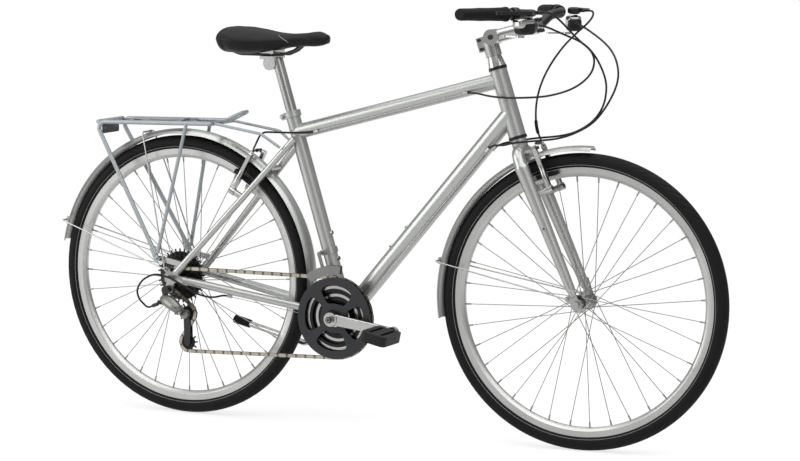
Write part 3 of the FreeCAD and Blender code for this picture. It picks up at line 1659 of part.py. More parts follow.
def pedal(name, sign, root):
    """One resin platform pedal with its axle and reflectors."""
    outward = AXIS_Y * sign
    eye_depth = s.crank_end_length - s.part_gap
    axle_start = root - outward * float(eye_depth)
    shaft = stub(axle_start, outward, s.pedal_axle_diameter, s.pedal_axle_length + eye_depth)
    collar = stub(
        root + outward * float(s.moving_gap),
        outward,
        s.pedal_body_diameter * 0.7,
        s.pedal_rail_width / 2,
    )
    middle = root + outward * float(s.pedal_rail_width / 2 + s.moving_gap + s.pedal_width / 2)
    tube = barrel(middle, AXIS_Y, s.pedal_body_diameter, s.pedal_width)
    half_x, half_y = s.pedal_length / 2, s.pedal_width / 2
    corners = [(-half_x, -half_y), (half_x, -half_y), (half_x, half_y), (-half_x, half_y)]
    tilt = Rotation(AXIS_Y, -float(s.pedal_rest_tilt))
    fore = tilt.multVec(AXIS_X)
    flat = Placement(middle, tilt)
    frame_plate = plate(corners, s.pedal_thickness, flat, s.pedal_corner_radius)
    rail = s.pedal_rail_width
    holes = []
    for end in (-1, 1):
        inner_x = s.pedal_body_diameter / 2 * 0.9
        span = half_x - rail - inner_x
        spot = middle + fore * float(end * (inner_x + span / 2))
        holes.append(block(Placement(spot, tilt), span, s.pedal_width - 2 * rail, s.cutter_margin * 2))
    pockets = []
    lamps = []
    for end in (-1, 1):
        spot = middle + fore * float(end * (half_x - s.pedal_reflector_thickness / 2))
        pockets.append(block(Placement(spot, tilt), s.pedal_reflector_thickness + 2 * s.seat_gap,
                             s.pedal_reflector_length + 2 * s.seat_gap, s.pedal_reflector_height + 2 * s.seat_gap))
        lamps.append(block(Placement(spot, tilt), s.pedal_reflector_thickness,
                           s.pedal_reflector_length, s.pedal_reflector_height))
    body = cut(fuse(cut(frame_plate, *holes), tube, collar, shaft), *pockets)
    node(name, [body] + lamps)

crown = steer(s.fork_crown_lift)
blade_way = (front_axle - crown).normalize()
blade_front = Vector(-blade_way.z, 0, blade_way.x)


def fork():
    """The fork: steerer, arched crown, tapered blades, tips and brake posts."""
    shoulder = crown + blade_way * float(s.fork_shoulder_drop)
    tip = front_axle - blade_way * float(s.fork_tip_length - s.fork_tip_radius)
    steerer = rod(crown, steer(head_end + s.steerer_rise), s.steerer_diameter)
    race_top = s.head_tube_start - s.headset_cup_height - s.part_gap
    race = rod(crown, steer(race_top), s.crown_race_diameter)
    arch_points = [
        sideways(shoulder, s.fork_blade_half_gap),
        sideways(crown + blade_way * float(s.fork_tip_thickness), s.fork_blade_half_gap * 0.8),
        sideways(crown + blade_way * float(s.fork_tip_thickness), -s.fork_blade_half_gap * 0.8),
        sideways(shoulder, -s.fork_blade_half_gap),
    ]
    arch = pipe(arch_points, s.fork_shoulder_diameter, s.fork_shoulder_diameter)
    pieces = [steerer, race, arch]
    holes = []
    for sign in SIDES.values():
        top = sideways(shoulder, sign * s.fork_blade_half_gap)
        low = sideways(tip, sign * s.fork_tip_half_gap)
        axle = sideways(front_axle, sign * s.fork_tip_half_gap)
        eyelet = axle + Vector(-s.front_eyelet_setback, 0, s.front_eyelet_rise)
        pieces.append(cone(top, low, s.fork_shoulder_diameter, s.fork_blade_end_diameter))
        pieces.append(ball(top, s.fork_shoulder_diameter * 1.02))
        pieces.append(barrel(axle, AXIS_Y, 2 * s.fork_tip_radius, s.fork_tip_thickness))
        pieces.append(bar(axle, low, s.fork_blade_end_diameter, s.fork_tip_thickness, AXIS_Y))
        pieces.append(ball(low, s.fork_blade_end_diameter * 1.05))
        pieces.append(barrel(eyelet, AXIS_Y, s.eyelet_diameter, s.fork_tip_thickness))
        pieces.append(bar(axle, eyelet, s.eyelet_diameter, s.fork_tip_thickness, AXIS_Y))
        foot = front_axle - blade_way * float(s.front_post_distance)
        pieces.append(
            brake_post(
                sideways(foot, sign * s.brake_post_half_spacing), blade_front, s.front_post_lift
            ),
        )
        boss_run = front_axle - blade_way * float(s.fork_boss_distance)
        boss_start = sideways(boss_run, sign * s.fork_tip_half_gap)
        pieces.append(stub(boss_start, AXIS_Y * sign, s.fork_boss_diameter, s.fork_shoulder_diameter * 0.4))
        holes.append(barrel(axle, AXIS_Y, s.axle_diameter + 2 * s.seat_gap, s.cutter_margin))
        holes.append(barrel(eyelet, AXIS_Y, s.eyelet_bore, s.cutter_margin))
        holes.append(stub(boss_start, AXIS_Y * sign, s.bottle_boss_bore, s.cutter_margin))
    node("fork", [cut(fuse(*pieces), *holes)], steered)


stem_base = head_end + s.headset_cup_height
stem_pivot = steer(stem_base + s.spacer_height + s.stem_pivot_lift, s.stem_clamp_diameter * 0.3)
bar_centre = stem_pivot + Vector(s.stem_reach, 0, s.stem_rise)


def bar_points():
    """The bends of the handlebar from its right end to its left end."""
    bend = bar_centre + Vector(s.bar_bend_forward * 0.5, 0, s.bar_rise * 0.8)
    shoulder = bar_centre + Vector(s.bar_bend_forward, 0, s.bar_rise)
    end = shoulder + Vector(-s.bar_backsweep, 0, 0)
    half = [
        sideways(bar_centre, s.bar_centre_half_width),
        sideways(bend, s.bar_bend_half_width),
        sideways(shoulder, s.bar_shoulder_half_width),
        sideways(end, s.bar_half_width),
    ]
    return mirrored(half[::-1]) + half


def stem():
    """The tapered spacer and the angle-adjustable stem with its bolts."""
    bore = s.steerer_diameter + 2 * s.seat_gap
    low = steer(stem_base + s.part_gap)
    middle = steer(stem_base + s.spacer_height)
    top = steer(stem_base + s.spacer_height + s.stem_clamp_height)
    hole = rod(steer(head_end - s.cutter_margin), top + steer_way * float(s.cutter_margin), bore)
    spacer = cut(
        cone(
            low,
            middle - steer_way * float(s.part_gap / 4),
            s.spacer_bottom_diameter,
            s.spacer_top_diameter,
        ),
        hole,
    )
    clamp = rod(middle, top, s.stem_clamp_diameter)
    lug_back = (s.stem_clamp_diameter + s.stem_lug_length) / 3
    lug_middle = steer(stem_base + s.spacer_height + s.stem_lug_height, -lug_back)
    lug = block(
        framed(lug_middle, steer_ahead, steer_way),
        s.stem_lug_length * 1.6,
        s.stem_lug_width,
        s.stem_lug_height,
    )
    knuckle = barrel(stem_pivot, AXIS_Y, s.stem_pivot_diameter, s.stem_pivot_width)
    arm = rod(stem_pivot, bar_centre, s.stem_arm_diameter)
    holder = barrel(bar_centre, AXIS_Y, s.stem_bar_clamp_diameter, s.stem_bar_clamp_width)
    bar_hole = barrel(
        bar_centre,
        AXIS_Y,
        s.bar_centre_diameter + 2 * s.seat_gap,
        s.stem_bar_clamp_width + s.cutter_margin,
    )
    slot_way = (bar_centre - stem_pivot).normalize()
    slot_up = AXIS_Y.cross(slot_way)
    body = cut(fuse(clamp, lug, knuckle, arm, holder), hole, bar_hole)
    bolts = []
    for rise in (-1, 1):
        lug_end = lug_middle - steer_ahead * float(s.stem_lug_length * 0.3)
        spot = lug_end + steer_way * float(rise * s.stem_lug_height * 0.32)
        for sign in SIDES.values():
            face = sideways(spot, sign * (s.stem_lug_width / 2 + s.seat_gap))
            bolts.append(stub(face, AXIS_Y * sign, s.stem_bolt_diameter, s.stem_bolt_length / 2))
    for sign in SIDES.values():
        face = sideways(stem_pivot, sign * (s.stem_pivot_width / 2 + s.seat_gap))
        bolts.append(stub(face, AXIS_Y * sign, s.stem_bolt_diameter * 1.5, s.stem_bolt_length / 2))
        for rise in (-1, 1):
            spot = bar_centre + slot_up * float(rise * s.stem_bar_clamp_diameter * 0.36)
            start = sideways(spot, sign * s.stem_bar_clamp_width * 0.3)
            start = start + slot_way * float(s.stem_bar_clamp_diameter * 0.3)
            bolts.append(cut(stub(start, slot_way, s.stem_bolt_diameter, s.stem_bolt_length * 1.6), holder))
    node("stem", [spacer, body] + bolts, steered)


def handlebar():
    """The riser bar, swept back, with its thicker centre."""
    points = bar_points()
    tube = pipe(points, s.bar_diameter, s.bar_bend_radius)
    hollow = pipe(points, s.bar_diameter - 2 * s.bar_wall, s.bar_bend_radius)
    sleeve = barrel(bar_centre, AXIS_Y, s.bar_centre_diameter, 2 * s.bar_centre_half_width)
    node(
        "handlebar",
        [
            fuse(
                cut(tube, hollow),
                cut(
                    sleeve,
                    barrel(bar_centre, AXIS_Y, s.bar_diameter - s.bar_wall, s.cutter_margin * 4),
                ),
            ),
        ],
        steered,
    )


class GripFrame:
    """The local directions along one half of the handlebar."""

    def __init__(self, sign):
        points = bar_points()
        ends = (points[-2], points[-1]) if sign > 0 else (points[1], points[0])
        self.sign = sign
        self.end = ends[1]
        self.out = (ends[1] - ends[0]).normalize()
        flat = Vector(abs(self.out.y), sign * abs(self.out.x), 0)
        self.ahead = flat.normalize()
        self.up = AXIS_Z

    def spot(self, inset, ahead=0.0, up=0.0):
        """A point measured in from the bar end, ahead of and above the bar."""
        return self.end - self.out * float(inset) + self.ahead * float(ahead) + self.up * float(up)


def grips():
    """Both hand grips with their palm wings and end caps."""
    pieces = []
    for sign in SIDES.values():
        frame = GripFrame(sign)
        bore = rod(
            frame.spot(s.grip_length + s.cutter_margin),
            frame.spot(-s.seat_gap),
            s.bar_diameter + 2 * s.seat_gap,
        )
        tube = rod(frame.spot(s.grip_length), frame.spot(-s.grip_end_thickness), s.grip_diameter)
        back = s.grip_diameter / 2 + s.grip_wing_reach
        outline = [
            (s.grip_length * 0.85, 0),
            (s.grip_length * 0.70, s.grip_diameter / 2),
            (s.grip_length * 0.36, back),
            (s.grip_end_thickness, back),
            (-s.grip_end_thickness, back * 0.8),
            (-s.grip_end_thickness, 0),
        ]
        place = framed(frame.end, -frame.out, AXIS_Z * -sign)
        wing = plate(outline, s.grip_wing_thickness, place, s.grip_end_thickness)
        pieces.append(cut(fuse(tube, wing), bore))
    node("grips", pieces, steered)


def control_spots(sign):
    """Key points of one control: its frame, lever pivot and shifter pivot."""
    frame = GripFrame(sign)
    lever = frame.spot(s.control_inset + s.lever_pivot_inset, s.lever_pivot_forward, -s.lever_pivot_drop)
    shift = frame.spot(s.control_inset, s.shift_pivot_forward, -s.shift_pivot_drop)
    return frame, lever, shift


def controls():
    """The lever brackets with shifter pods, brake levers and shift levers."""
    brackets = []
    for name, sign in SIDES.items():
        frame, lever, shift = control_spots(sign)
        middle = frame.spot(s.control_inset)
        bore = barrel(middle, frame.out, s.bar_diameter + 2 * s.seat_gap, s.cutter_margin * 6)
        band = barrel(middle, frame.out, s.control_clamp_diameter, s.control_clamp_width)
        half_l, half_d = s.control_pod_length / 2, s.control_pod_depth / 2
        corners = [(-half_l, -half_d), (half_l, -half_d), (half_l, half_d), (-half_l, half_d)]
        pod_middle = frame.spot(s.control_inset, s.control_pod_forward, -s.control_pod_drop)
        pod = plate(
            corners,
            s.control_pod_height,
            framed(pod_middle, frame.out, AXIS_Z),
            s.control_pod_depth * 0.3,
        )
        ear_start = frame.spot(
            s.control_inset + s.lever_pivot_inset, s.control_pod_forward, -s.lever_pivot_drop
        )
        tall = s.lever_boss_height + 2 * s.moving_gap
        slot = barrel(lever, AXIS_Z, s.lever_boss_diameter + 2 * s.moving_gap, tall)
        way_out = block(
            framed(lever + frame.out * float(s.lever_length / 2) , frame.out, AXIS_Z),
            s.lever_length, s.lever_boss_diameter + 4 * s.moving_gap, tall,
        )
        ear = fuse(
            barrel(lever, AXIS_Z, s.lever_boss_diameter, tall + s.lever_thickness),
            bar(ear_start, lever, s.lever_boss_diameter, tall + s.lever_thickness, AXIS_Z),
        )
        pin = barrel(lever, AXIS_Z, s.lever_pivot_diameter, tall + s.lever_thickness * 0.8)
        shift_pin = stub(shift + AXIS_Z * float(s.shift_boss_height), -AXIS_Z, s.lever_pivot_diameter,
                         s.shift_boss_height * 2)
        adjuster_start = frame.spot(
            s.control_inset + s.control_pod_length / 2 - s.moving_gap,
            s.control_pod_forward,
            -s.control_pod_drop,
        )
        adjuster = stub(adjuster_start, -frame.out, s.control_barrel_diameter, s.control_barrel_length)
        brake_exit_start = frame.spot(
            s.control_inset + s.lever_pivot_inset, s.lever_pivot_forward, -s.lever_pivot_drop
        )
        exit_way = (-frame.out + frame.ahead * 0.3).normalize()
        brake_exit = stub(
            brake_exit_start + exit_way * float(s.lever_boss_diameter / 2 + s.moving_gap),
            exit_way,
            s.control_barrel_diameter,
            s.control_barrel_length,
        )
        whole = cut(fuse(band, pod, ear, adjuster, brake_exit), slot, way_out, bore)
        brackets.append(fuse(whole, pin, shift_pin))
        lever_blade(name, frame, lever)
        shift_blade(name, frame, shift)
    node("control_brackets", brackets, steered)


def lever_blade(name, frame, pivot):
    """One brake lever, cranked forward and running along the grip."""
    start = pivot
    knee = pivot + frame.out * float(s.lever_length * 0.28) + frame.ahead * float(s.lever_lead)
    tip = pivot + frame.out * float(s.lever_length) + frame.ahead * float(s.lever_lead * 0.6)
    boss = barrel(pivot, AXIS_Z, s.lever_boss_diameter, s.lever_boss_height)
    blade = fuse(
        bar(start, knee, s.lever_root_width, s.lever_thickness, AXIS_Z),
        barrel(knee, AXIS_Z, s.lever_root_width, s.lever_thickness),
        bar(knee, tip, s.lever_tip_width, s.lever_thickness, AXIS_Z),
        barrel(tip, AXIS_Z, s.lever_tip_width * 1.25, s.lever_thickness),
        boss,
    )
    hole = barrel(pivot, AXIS_Z, s.lever_pivot_diameter + 2 * s.running_fit, s.cutter_margin)
    node(f"brake_lever_{name}", [cut(blade, hole)], steered)


def shift_blade(name, frame, pivot):
    """One thumb shift lever under its pod."""
    level = pivot - AXIS_Z * float(s.shift_boss_height * 0.1)
    tip = level - frame.ahead * float(s.shift_lever_length * 0.86) + frame.out * float(
        s.shift_lever_length * 0.2
    )
    boss = barrel(level, AXIS_Z, s.shift_boss_diameter, s.shift_boss_height)
    blade = bar(level, tip, s.shift_lever_width, s.shift_lever_thickness, AXIS_Z)
    pad = barrel(tip, AXIS_Z, s.shift_lever_width * 1.3, s.shift_lever_thickness)
    hole = barrel(level, AXIS_Z, s.lever_pivot_diameter + 2 * s.running_fit, s.cutter_margin)
    node(f"shift_lever_{name}", [cut(fuse(boss, blade, pad), hole)], steered)


class BrakeFrame:
    """The local directions of one rim brake."""

    def __init__(self, axle, foot, up, out, lift):
        self.axle = axle
        self.foot = foot
        self.up = up
        self.out = out
        self.middle = lift + s.part_gap + s.brake_arm_boss_length / 2
        base = foot + out * float(self.middle) - axle
        self.pad_rise = math.sqrt(s.brake_pad_radius ** 2 - base.dot(out) ** 2) - base.dot(up)

    def spot(self, side, rise, out=None):
        """A point beside the wheel plane, above the post and out along it."""
        reach = self.middle if out is None else out
        base = self.foot + self.up * float(rise) + self.out * float(reach)
        return sideways(base, side)


front_foot = front_axle - blade_way * float(s.front_post_distance)
front_brake = BrakeFrame(front_axle, front_foot, blade_way * -1, blade_front, s.front_post_lift)
rear_foot = rear_axle + seatstay_way * float(s.rear_post_distance)
rear_brake = BrakeFrame(rear_axle, rear_foot, rear_brake_up, rear_brake_out, s.rear_post_lift)
NOODLE_SIDE = {"front": 1, "rear": -1}


def brakes():
    """Both pairs of brake arms with their pads, noodles and boots."""
    for end, frame, place in (("front", front_brake, steered), ("rear", rear_brake, None)):
        for name, sign in SIDES.items():
            node(f"{end}_brake_arm_{name}", brake_arm(frame, sign, NOODLE_SIDE[end] == sign), place)


def brake_arm(frame, sign, has_noodle):
    """One brake arm, its pad, and the noodle or the cable clamp."""
    pivot = frame.spot(sign * s.brake_post_half_spacing, 0)
    head = frame.spot(sign * (s.brake_post_half_spacing - s.brake_arm_lean), s.brake_arm_length)
    boss = barrel(pivot, frame.out, s.brake_arm_boss_diameter, s.brake_arm_boss_length)
    limb = bar(pivot, head, s.brake_arm_width, s.brake_arm_thickness, frame.out)
    cap = barrel(head, frame.out, s.brake_arm_top_diameter, s.brake_arm_thickness)
    hole = barrel(pivot, frame.out, s.brake_post_diameter + 2 * s.running_fit, s.cutter_margin)
    arm = cut(fuse(boss, limb, cap), hole)
    way = (head - pivot).normalize()
    inset_start = pivot + way * float(s.brake_arm_boss_diameter * 0.75) + frame.out * float(
        s.brake_arm_thickness / 2 + s.brake_inset_thickness / 2 + s.seat_gap
    )
    inset_end = inset_start + way * float(s.brake_inset_length)
    inset = fuse(
        bar(inset_start, inset_end, s.brake_inset_width, s.brake_inset_thickness, frame.out),
        barrel(inset_start, frame.out, s.brake_inset_width, s.brake_inset_thickness),
        barrel(inset_end, frame.out, s.brake_inset_width, s.brake_inset_thickness),
    )
    face = s.rim_width / 2 + s.brake_pad_gap
    pad_middle = frame.spot(sign * (face + s.brake_pad_thickness / 2), frame.pad_rise)
    radial = sideways(pad_middle, 0) - frame.axle
    along_rim = AXIS_Y.cross(radial)
    pad = block(
        framed(pad_middle, along_rim, AXIS_Y),
        s.brake_pad_length,
        s.brake_pad_height,
        s.brake_pad_thickness,
    )
    arm_side = s.brake_post_half_spacing - s.brake_arm_lean * 0.22 - s.brake_arm_width / 2 - s.seat_gap
    stud_start = frame.spot(sign * face, frame.pad_rise)
    stud = rod(
        stud_start,
        frame.spot(sign * (arm_side + s.seat_gap), frame.pad_rise),
        s.brake_stud_diameter,
    )
    shoe = cut(fuse(pad, stud), limb)
    pieces = [arm, inset, shoe]
    if has_noodle:
        top = head + frame.up * float(s.brake_arm_top_diameter / 2 + s.seat_gap)
        corner = top + frame.up * float(s.noodle_diameter)
        inward = AXIS_Y * -sign
        route = [corner + frame.up * float(s.noodle_rise), corner, corner + inward * float(s.noodle_reach)]
        tube = pipe(route, s.noodle_diameter, s.noodle_bend)
        boot_start = route[-1] + inward * float(s.seat_gap)
        boot = cone(
            boot_start,
            boot_start + inward * float(s.boot_length),
            s.boot_diameter,
            s.boot_diameter * 0.7,
        )
        seat_block = rod(head, corner, s.boot_diameter)
        pieces = [fuse(arm, cut(seat_block, cap)), inset, shoe, cut(tube, seat_block, cap, limb), boot]
    else:
        start = head + frame.out * float(s.brake_arm_thickness / 2 + s.seat_gap)
        pieces.append(stub(start, frame.out, s.stem_bolt_diameter, s.stem_bolt_length))
    return pieces


def guard_section(angle, axle):
    """The curved section of a mudguard, set at an angle round the wheel."""
    crown_radius, depth, half = float(s.guard_crown_radius), float(s.guard_depth), float(s.guard_width) / 2
    wall = float(s.guard_wall)
    outer = [
        Vector(crown_radius - depth, -half, 0),
        Vector(crown_radius, 0, 0),
        Vector(crown_radius - depth, half, 0),
    ]
    inner = [
        Vector(crown_radius - depth, half - wall, 0),
        Vector(crown_radius - wall, 0, 0),
        Vector(crown_radius - depth, wall - half, 0),
    ]
    edges = [
        Part.Arc(*outer).toShape(),
        Part.LineSegment(outer[2], inner[0]).toShape(),
        Part.Arc(*inner).toShape(),
        Part.LineSegment(inner[2], outer[0]).toShape(),
    ]
    face = Part.Face(Part.Wire(edges))
    face.rotate(Vector(), -AXIS_Y, angle)
    face.translate(axle)
    return face


def round_wheel(axle, angle, radius, side=0.0):
    """A point at an angle and radius round a wheel."""
    turn = math.radians(angle)
    return axle + Vector(math.cos(turn) * radius, side, math.sin(turn) * radius)


def stay_loop(axle, angle, eyelet, eyelet_side, washer=None):
    """A wire stay from one eyelet over the mudguard to the other, with its washers."""
    radius = s.guard_crown_radius + s.guard_stay_lift + s.guard_stay_diameter / 2
    points = []
    for sign in (-1, 1):
        pair = [
            sideways(eyelet, sign * eyelet_side),
            round_wheel(axle, angle, radius, sign * s.guard_stay_half_gap),
        ]
        points += pair if sign < 0 else pair[::-1]
    loop = pipe(points, s.guard_stay_diameter, s.guard_stay_bend)
    clip = round_wheel(axle, angle, s.guard_crown_radius + s.seat_gap)
    way = (clip - axle).normalize()
    tall = s.guard_stay_lift + s.guard_stay_diameter
    foot = block(
        framed(clip + way * float(tall / 2), AXIS_Y, way),
        s.guard_tab_width,
        s.guard_tab_width,
        tall,
    )
    washers = []
    if washer is not None:
        thick = washer + s.guard_stay_diameter / 2
        for sign in (-1, 1):
            spot = sideways(eyelet, sign * (eyelet_side - thick / 2))
            washers.append(barrel(spot, AXIS_Y, s.stay_screw_diameter, thick))
    return fuse(loop, foot, *washers)


def mudguards():
    """Both mudguards and their wire stays."""
    for name, axle, start, sweep, place in (
        ("rear", rear_axle, s.rear_guard_start, s.rear_guard_sweep, None),
        ("front", front_axle, s.front_guard_start, s.front_guard_sweep, steered),
    ):
        shell = guard_section(float(start), axle).revolve(axle, -AXIS_Y, float(sweep))
        node(f"{name}_mudguard", [made(shell)], place)
    rear_side = (
        s.rear_hub_width / 2 + s.dropout_thickness + s.stay_washer + s.guard_stay_diameter / 2
        + s.seat_gap
    )
    rear = []
    for angle, lift in ((s.rear_stay_angle, 0), (s.rear_upper_stay_angle, 1)):
        side = rear_side + lift * (s.guard_stay_diameter + s.seat_gap)
        rear.append(stay_loop(rear_axle, float(angle), guard_eyelet, side, None if lift else s.stay_washer))
    way = seatstay_way
    tab_low = rear_axle + way * float(s.guard_crown_radius + s.seat_gap)
    tab_high = rear_axle + way * float(s.seatstay_bridge_distance - s.bridge_diameter / 2 - s.seat_gap)
    rear.append(rod(tab_low, tab_high, s.stay_screw_diameter))
    node("rear_mudguard_stays", rear)
    eyelet = front_axle + Vector(-s.front_eyelet_setback, 0, s.front_eyelet_rise)
    front_side = (
        s.fork_tip_half_gap + s.fork_tip_thickness / 2 + s.stay_washer
        + s.guard_stay_diameter / 2 + s.seat_gap
    )
    front = [stay_loop(front_axle, float(s.front_stay_angle), eyelet, front_side, s.stay_washer)]
    crown_spot = crown + blade_way * float(s.fork_tip_thickness)
    low = front_axle + (crown_spot - front_axle).normalize() * float(s.guard_crown_radius + s.seat_gap)
    high_run = (crown_spot - front_axle).Length - float(s.fork_shoulder_diameter / 2 + s.seat_gap)
    high = front_axle + (crown_spot - front_axle).normalize() * high_run
    front.append(rod(low, high, s.stay_screw_diameter))
    node("front_mudguard_stays", front, steered)


def rack_spot(ahead, side, drop=0.0):
    """A point of the rack measured from above the rear axle."""
    return Vector(rear_axle.x + ahead, side, s.rack_height - drop)


def luggage_rack():
    """The tubular rack: side frames, legs, rungs, deck plate, loop and arms."""
    pieces = []
    tube = s.rack_tube_diameter
    rails = []
    for sign in SIDES.values():
        side = sign * s.rack_half_width
        foot = sideways(rack_eyelet, sign * s.rack_foot_half_gap)
        front = rack_spot(s.rack_front_ahead, side)
        rear = rack_spot(-s.rack_rear_reach, side, s.rack_rear_drop)
        rail = pipe([front, rear, foot + (rear - foot).normalize() * float(tube)], tube, s.rack_bend)
        leg_top = rack_spot(s.rack_leg_ahead, side, -s.seat_gap)
        leg_low = foot + Vector(0, 0, tube * 1.4)
        leg = pipe([leg_top, leg_top + (leg_low - leg_top) * 0.55, leg_low], tube * 0.86, s.rack_bend)
        tongue = bar(foot - Vector(0, 0, s.rack_foot_plate_width / 2),
                     foot + (rear - foot).normalize() * float(3 * tube),
                     s.rack_foot_plate_width, s.rack_foot_thickness, AXIS_Y)
        hole = barrel(foot, AXIS_Y, s.eyelet_bore, s.cutter_margin)
        frame_side = cut(fuse(rail, leg, tongue, ball(front, tube)), hole)
        pieces.append(frame_side)
        rails.append(frame_side)
    rung_spots = (
        rack_spot(-s.rack_rear_reach * 0.97, 0, s.rack_rear_drop),
        rack_spot(-s.rack_rear_reach * 0.62, 0, s.rack_rear_drop * 0.62),
        rack_spot(0, 0, s.rack_rear_drop * 0.1),
        rack_spot(s.rack_front_ahead, 0),
    )
    for i, spot in enumerate(rung_spots):
        size = tube if i in (0, 3) else s.rack_rung_diameter
        rung = cut(barrel(spot, AXIS_Y, size, 2 * s.rack_half_width), *rails)
        pieces.append(rung)
    deck_middle = (rung_spots[1] + rung_spots[2]) * 0.5
    deck_middle = deck_middle + AXIS_Z * float(
        s.rack_rung_diameter / 2 + s.rack_deck_thickness / 2 + s.seat_gap
    )
    deck_place = framed(deck_middle, rung_spots[2] - rung_spots[1], AXIS_Z)
    pieces.append(block(deck_place, s.rack_deck_length, s.rack_deck_width, s.rack_deck_thickness))
    start = rack_spot(s.rack_front_ahead + tube * 0.56, 0)
    tip = rack_spot(s.rack_loop_ahead, 0, -s.rack_loop_rise)
    wide = s.rack_loop_half_width
    loop_points = [
        sideways(start, -wide * 0.45),
        sideways(start + (tip - start) * 0.45, -wide),
        sideways(tip, -wide * 0.9),
        sideways(tip, wide * 0.9),
        sideways(start + (tip - start) * 0.45, wide),
        sideways(start, wide * 0.45),
    ]
    pieces.append(cut(pipe(loop_points, s.rack_rung_diameter, s.rack_bend), rung))
    for sign in SIDES.values():
        points = [
            rack_spot(s.rack_front_ahead + tube * 0.56, sign * s.rack_half_width * 0.8),
            rack_spot(s.rack_arm_bend_ahead, sign * s.rack_arm_half_gap, s.rack_arm_bend_drop),
            rack_spot(s.rack_arm_end_ahead, sign * s.rack_arm_end_half_gap, s.rack_arm_end_drop),
        ]
        pieces.append(cut(pipe(points, s.rack_arm_diameter, s.rack_bend), rung))
    node("luggage_rack", pieces)
    light_middle = rack_spot(
        -s.rack_rear_reach * 0.97,
        0,
        s.rack_rear_drop + tube / 2 + s.light_plate_height / 2 + s.seat_gap,
    )
    half_w, half_h = s.light_plate_width / 2, s.light_plate_height / 2
    corners = [(-half_w, -half_h), (half_w, -half_h), (half_w, half_h), (-half_w, half_h)]
    panel = plate(
        corners,
        s.light_plate_thickness,
        framed(light_middle, AXIS_Y, AXIS_X),
        s.light_plate_thickness * 1.5,
    )
    holes = [
        barrel(
            sideways(light_middle, sign * s.light_hole_spacing / 2),
            AXIS_X,
            s.light_hole_diameter,
            s.cutter_margin,
        )
        for sign in SIDES.values()
    ]
    node("rack_light_plate", [cut(panel, *holes)])


kick_way = Vector(
    0,
    -math.cos(math.radians(s.kickstand_axis_lean)),
    -math.sin(math.radians(s.kickstand_axis_lean)),
)
kick_root = bracket + stay_way * float(s.chainstay_waist)
kick_pivot = kick_root + Vector(0, s.kickstand_pivot_side, -s.kickstand_pivot_drop)


def kickstand():
    """The clamped bracket, the folded leg and its rubber foot."""
    up = Vector(stay_way.z, 0, -stay_way.x)
    half = s.chainstay_diameter / 2 + s.seat_gap
    thick = s.kickstand_plate_thickness
    plates = []
    for sign in (-1, 1):
        middle = kick_root + up * float(sign * (half + thick / 2))
        plates.append(
            block(
                framed(middle, stay_way, up),
                s.kickstand_plate_length,
                s.kickstand_plate_width,
                thick,
            ),
        )
    bolt = rod(
        kick_root - up * float(half + thick),
        kick_root + up * float(half + thick),
        s.kickstand_bolt_diameter,
    )
    head = stub(
        kick_root + up * float(half + thick),
        up,
        s.kickstand_bolt_diameter * 1.6,
        s.clamp_bolt_head_height,
    )
    block_top = kick_root - up * float(half + thick)
    tall = (block_top.z - kick_pivot.z) + float(s.kickstand_boss_diameter / 2)
    block_side = (
        s.kickstand_pivot_side - s.kickstand_boss_length / 2 - s.kickstand_block_gap
        - s.kickstand_block_width / 2
    )
    body_middle = sideways(block_top - AXIS_Z * (tall / 2), block_side)
    body = block(
        Placement(body_middle, Rotation()),
        s.kickstand_block_length,
        s.kickstand_block_width,
        tall + float(thick) / 2,
    )
    pin = barrel(kick_pivot, kick_way, s.kickstand_pin_diameter, 2 * s.kickstand_boss_length)
    cap = stub(kick_pivot - kick_way * float(s.kickstand_boss_length / 2 + s.moving_gap), kick_way * -1,
               s.kickstand_pin_diameter * 1.6, s.clamp_bolt_head_height)
    node("kickstand_bracket", [fuse(*plates, bolt, head, body, pin, cap)])
    knee = kick_root + Vector(
        -s.kickstand_knee_back,
        s.kickstand_knee_side,
        -s.kickstand_pivot_drop - s.kickstand_knee_drop,
    )
    foot = kick_root + Vector(
        -s.kickstand_foot_back,
        s.kickstand_foot_side,
        -s.kickstand_pivot_drop - s.kickstand_foot_drop,
    )
    boss = barrel(kick_pivot, kick_way, s.kickstand_boss_diameter, s.kickstand_boss_length)
    leg = pipe([kick_pivot, knee, foot], s.kickstand_leg_diameter, s.kickstand_bend)
    hole = barrel(kick_pivot, kick_way, s.kickstand_pin_diameter + 2 * s.running_fit, s.cutter_margin * 3)
    trim = stub(kick_pivot + kick_way * float(s.kickstand_boss_length / 2), kick_way,
                s.kickstand_boss_diameter * 2,
                s.cutter_margin)
    node("kickstand_leg", [cut(fuse(boss, cut(leg, trim)), hole)])
    way = (foot - knee).normalize()
    sleeve = rod(foot - way * float(s.kickstand_foot_length),
                 foot + way * float(s.kickstand_leg_diameter / 2),
                 s.kickstand_foot_diameter)
    bore = rod(knee, foot + way * float(s.seat_gap), s.kickstand_leg_diameter + 2 * s.seat_gap)
    node("kickstand_foot", [cut(sleeve, bore)])


SWING_DOWN = Vector(math.cos(math.radians(30)), 0, -math.sin(math.radians(30)))
SWING_IN = AXIS_Y * math.cos(math.radians(30)) + AXIS_Y.cross(SWING_DOWN) * math.sin(math.radians(30))
swing_axis = SWING_DOWN.cross(SWING_IN)
link_root_to_end = SWING_DOWN * float(s.shift_link_length) - SWING_IN * float(s.shift_swing_half)
link_end = chain_path.guide + Vector(-s.shift_ear_setback, 0, s.shift_ear_rise)
link_end = sideways(link_end, -s.shift_ear_offset)
link_root = link_end - link_root_to_end


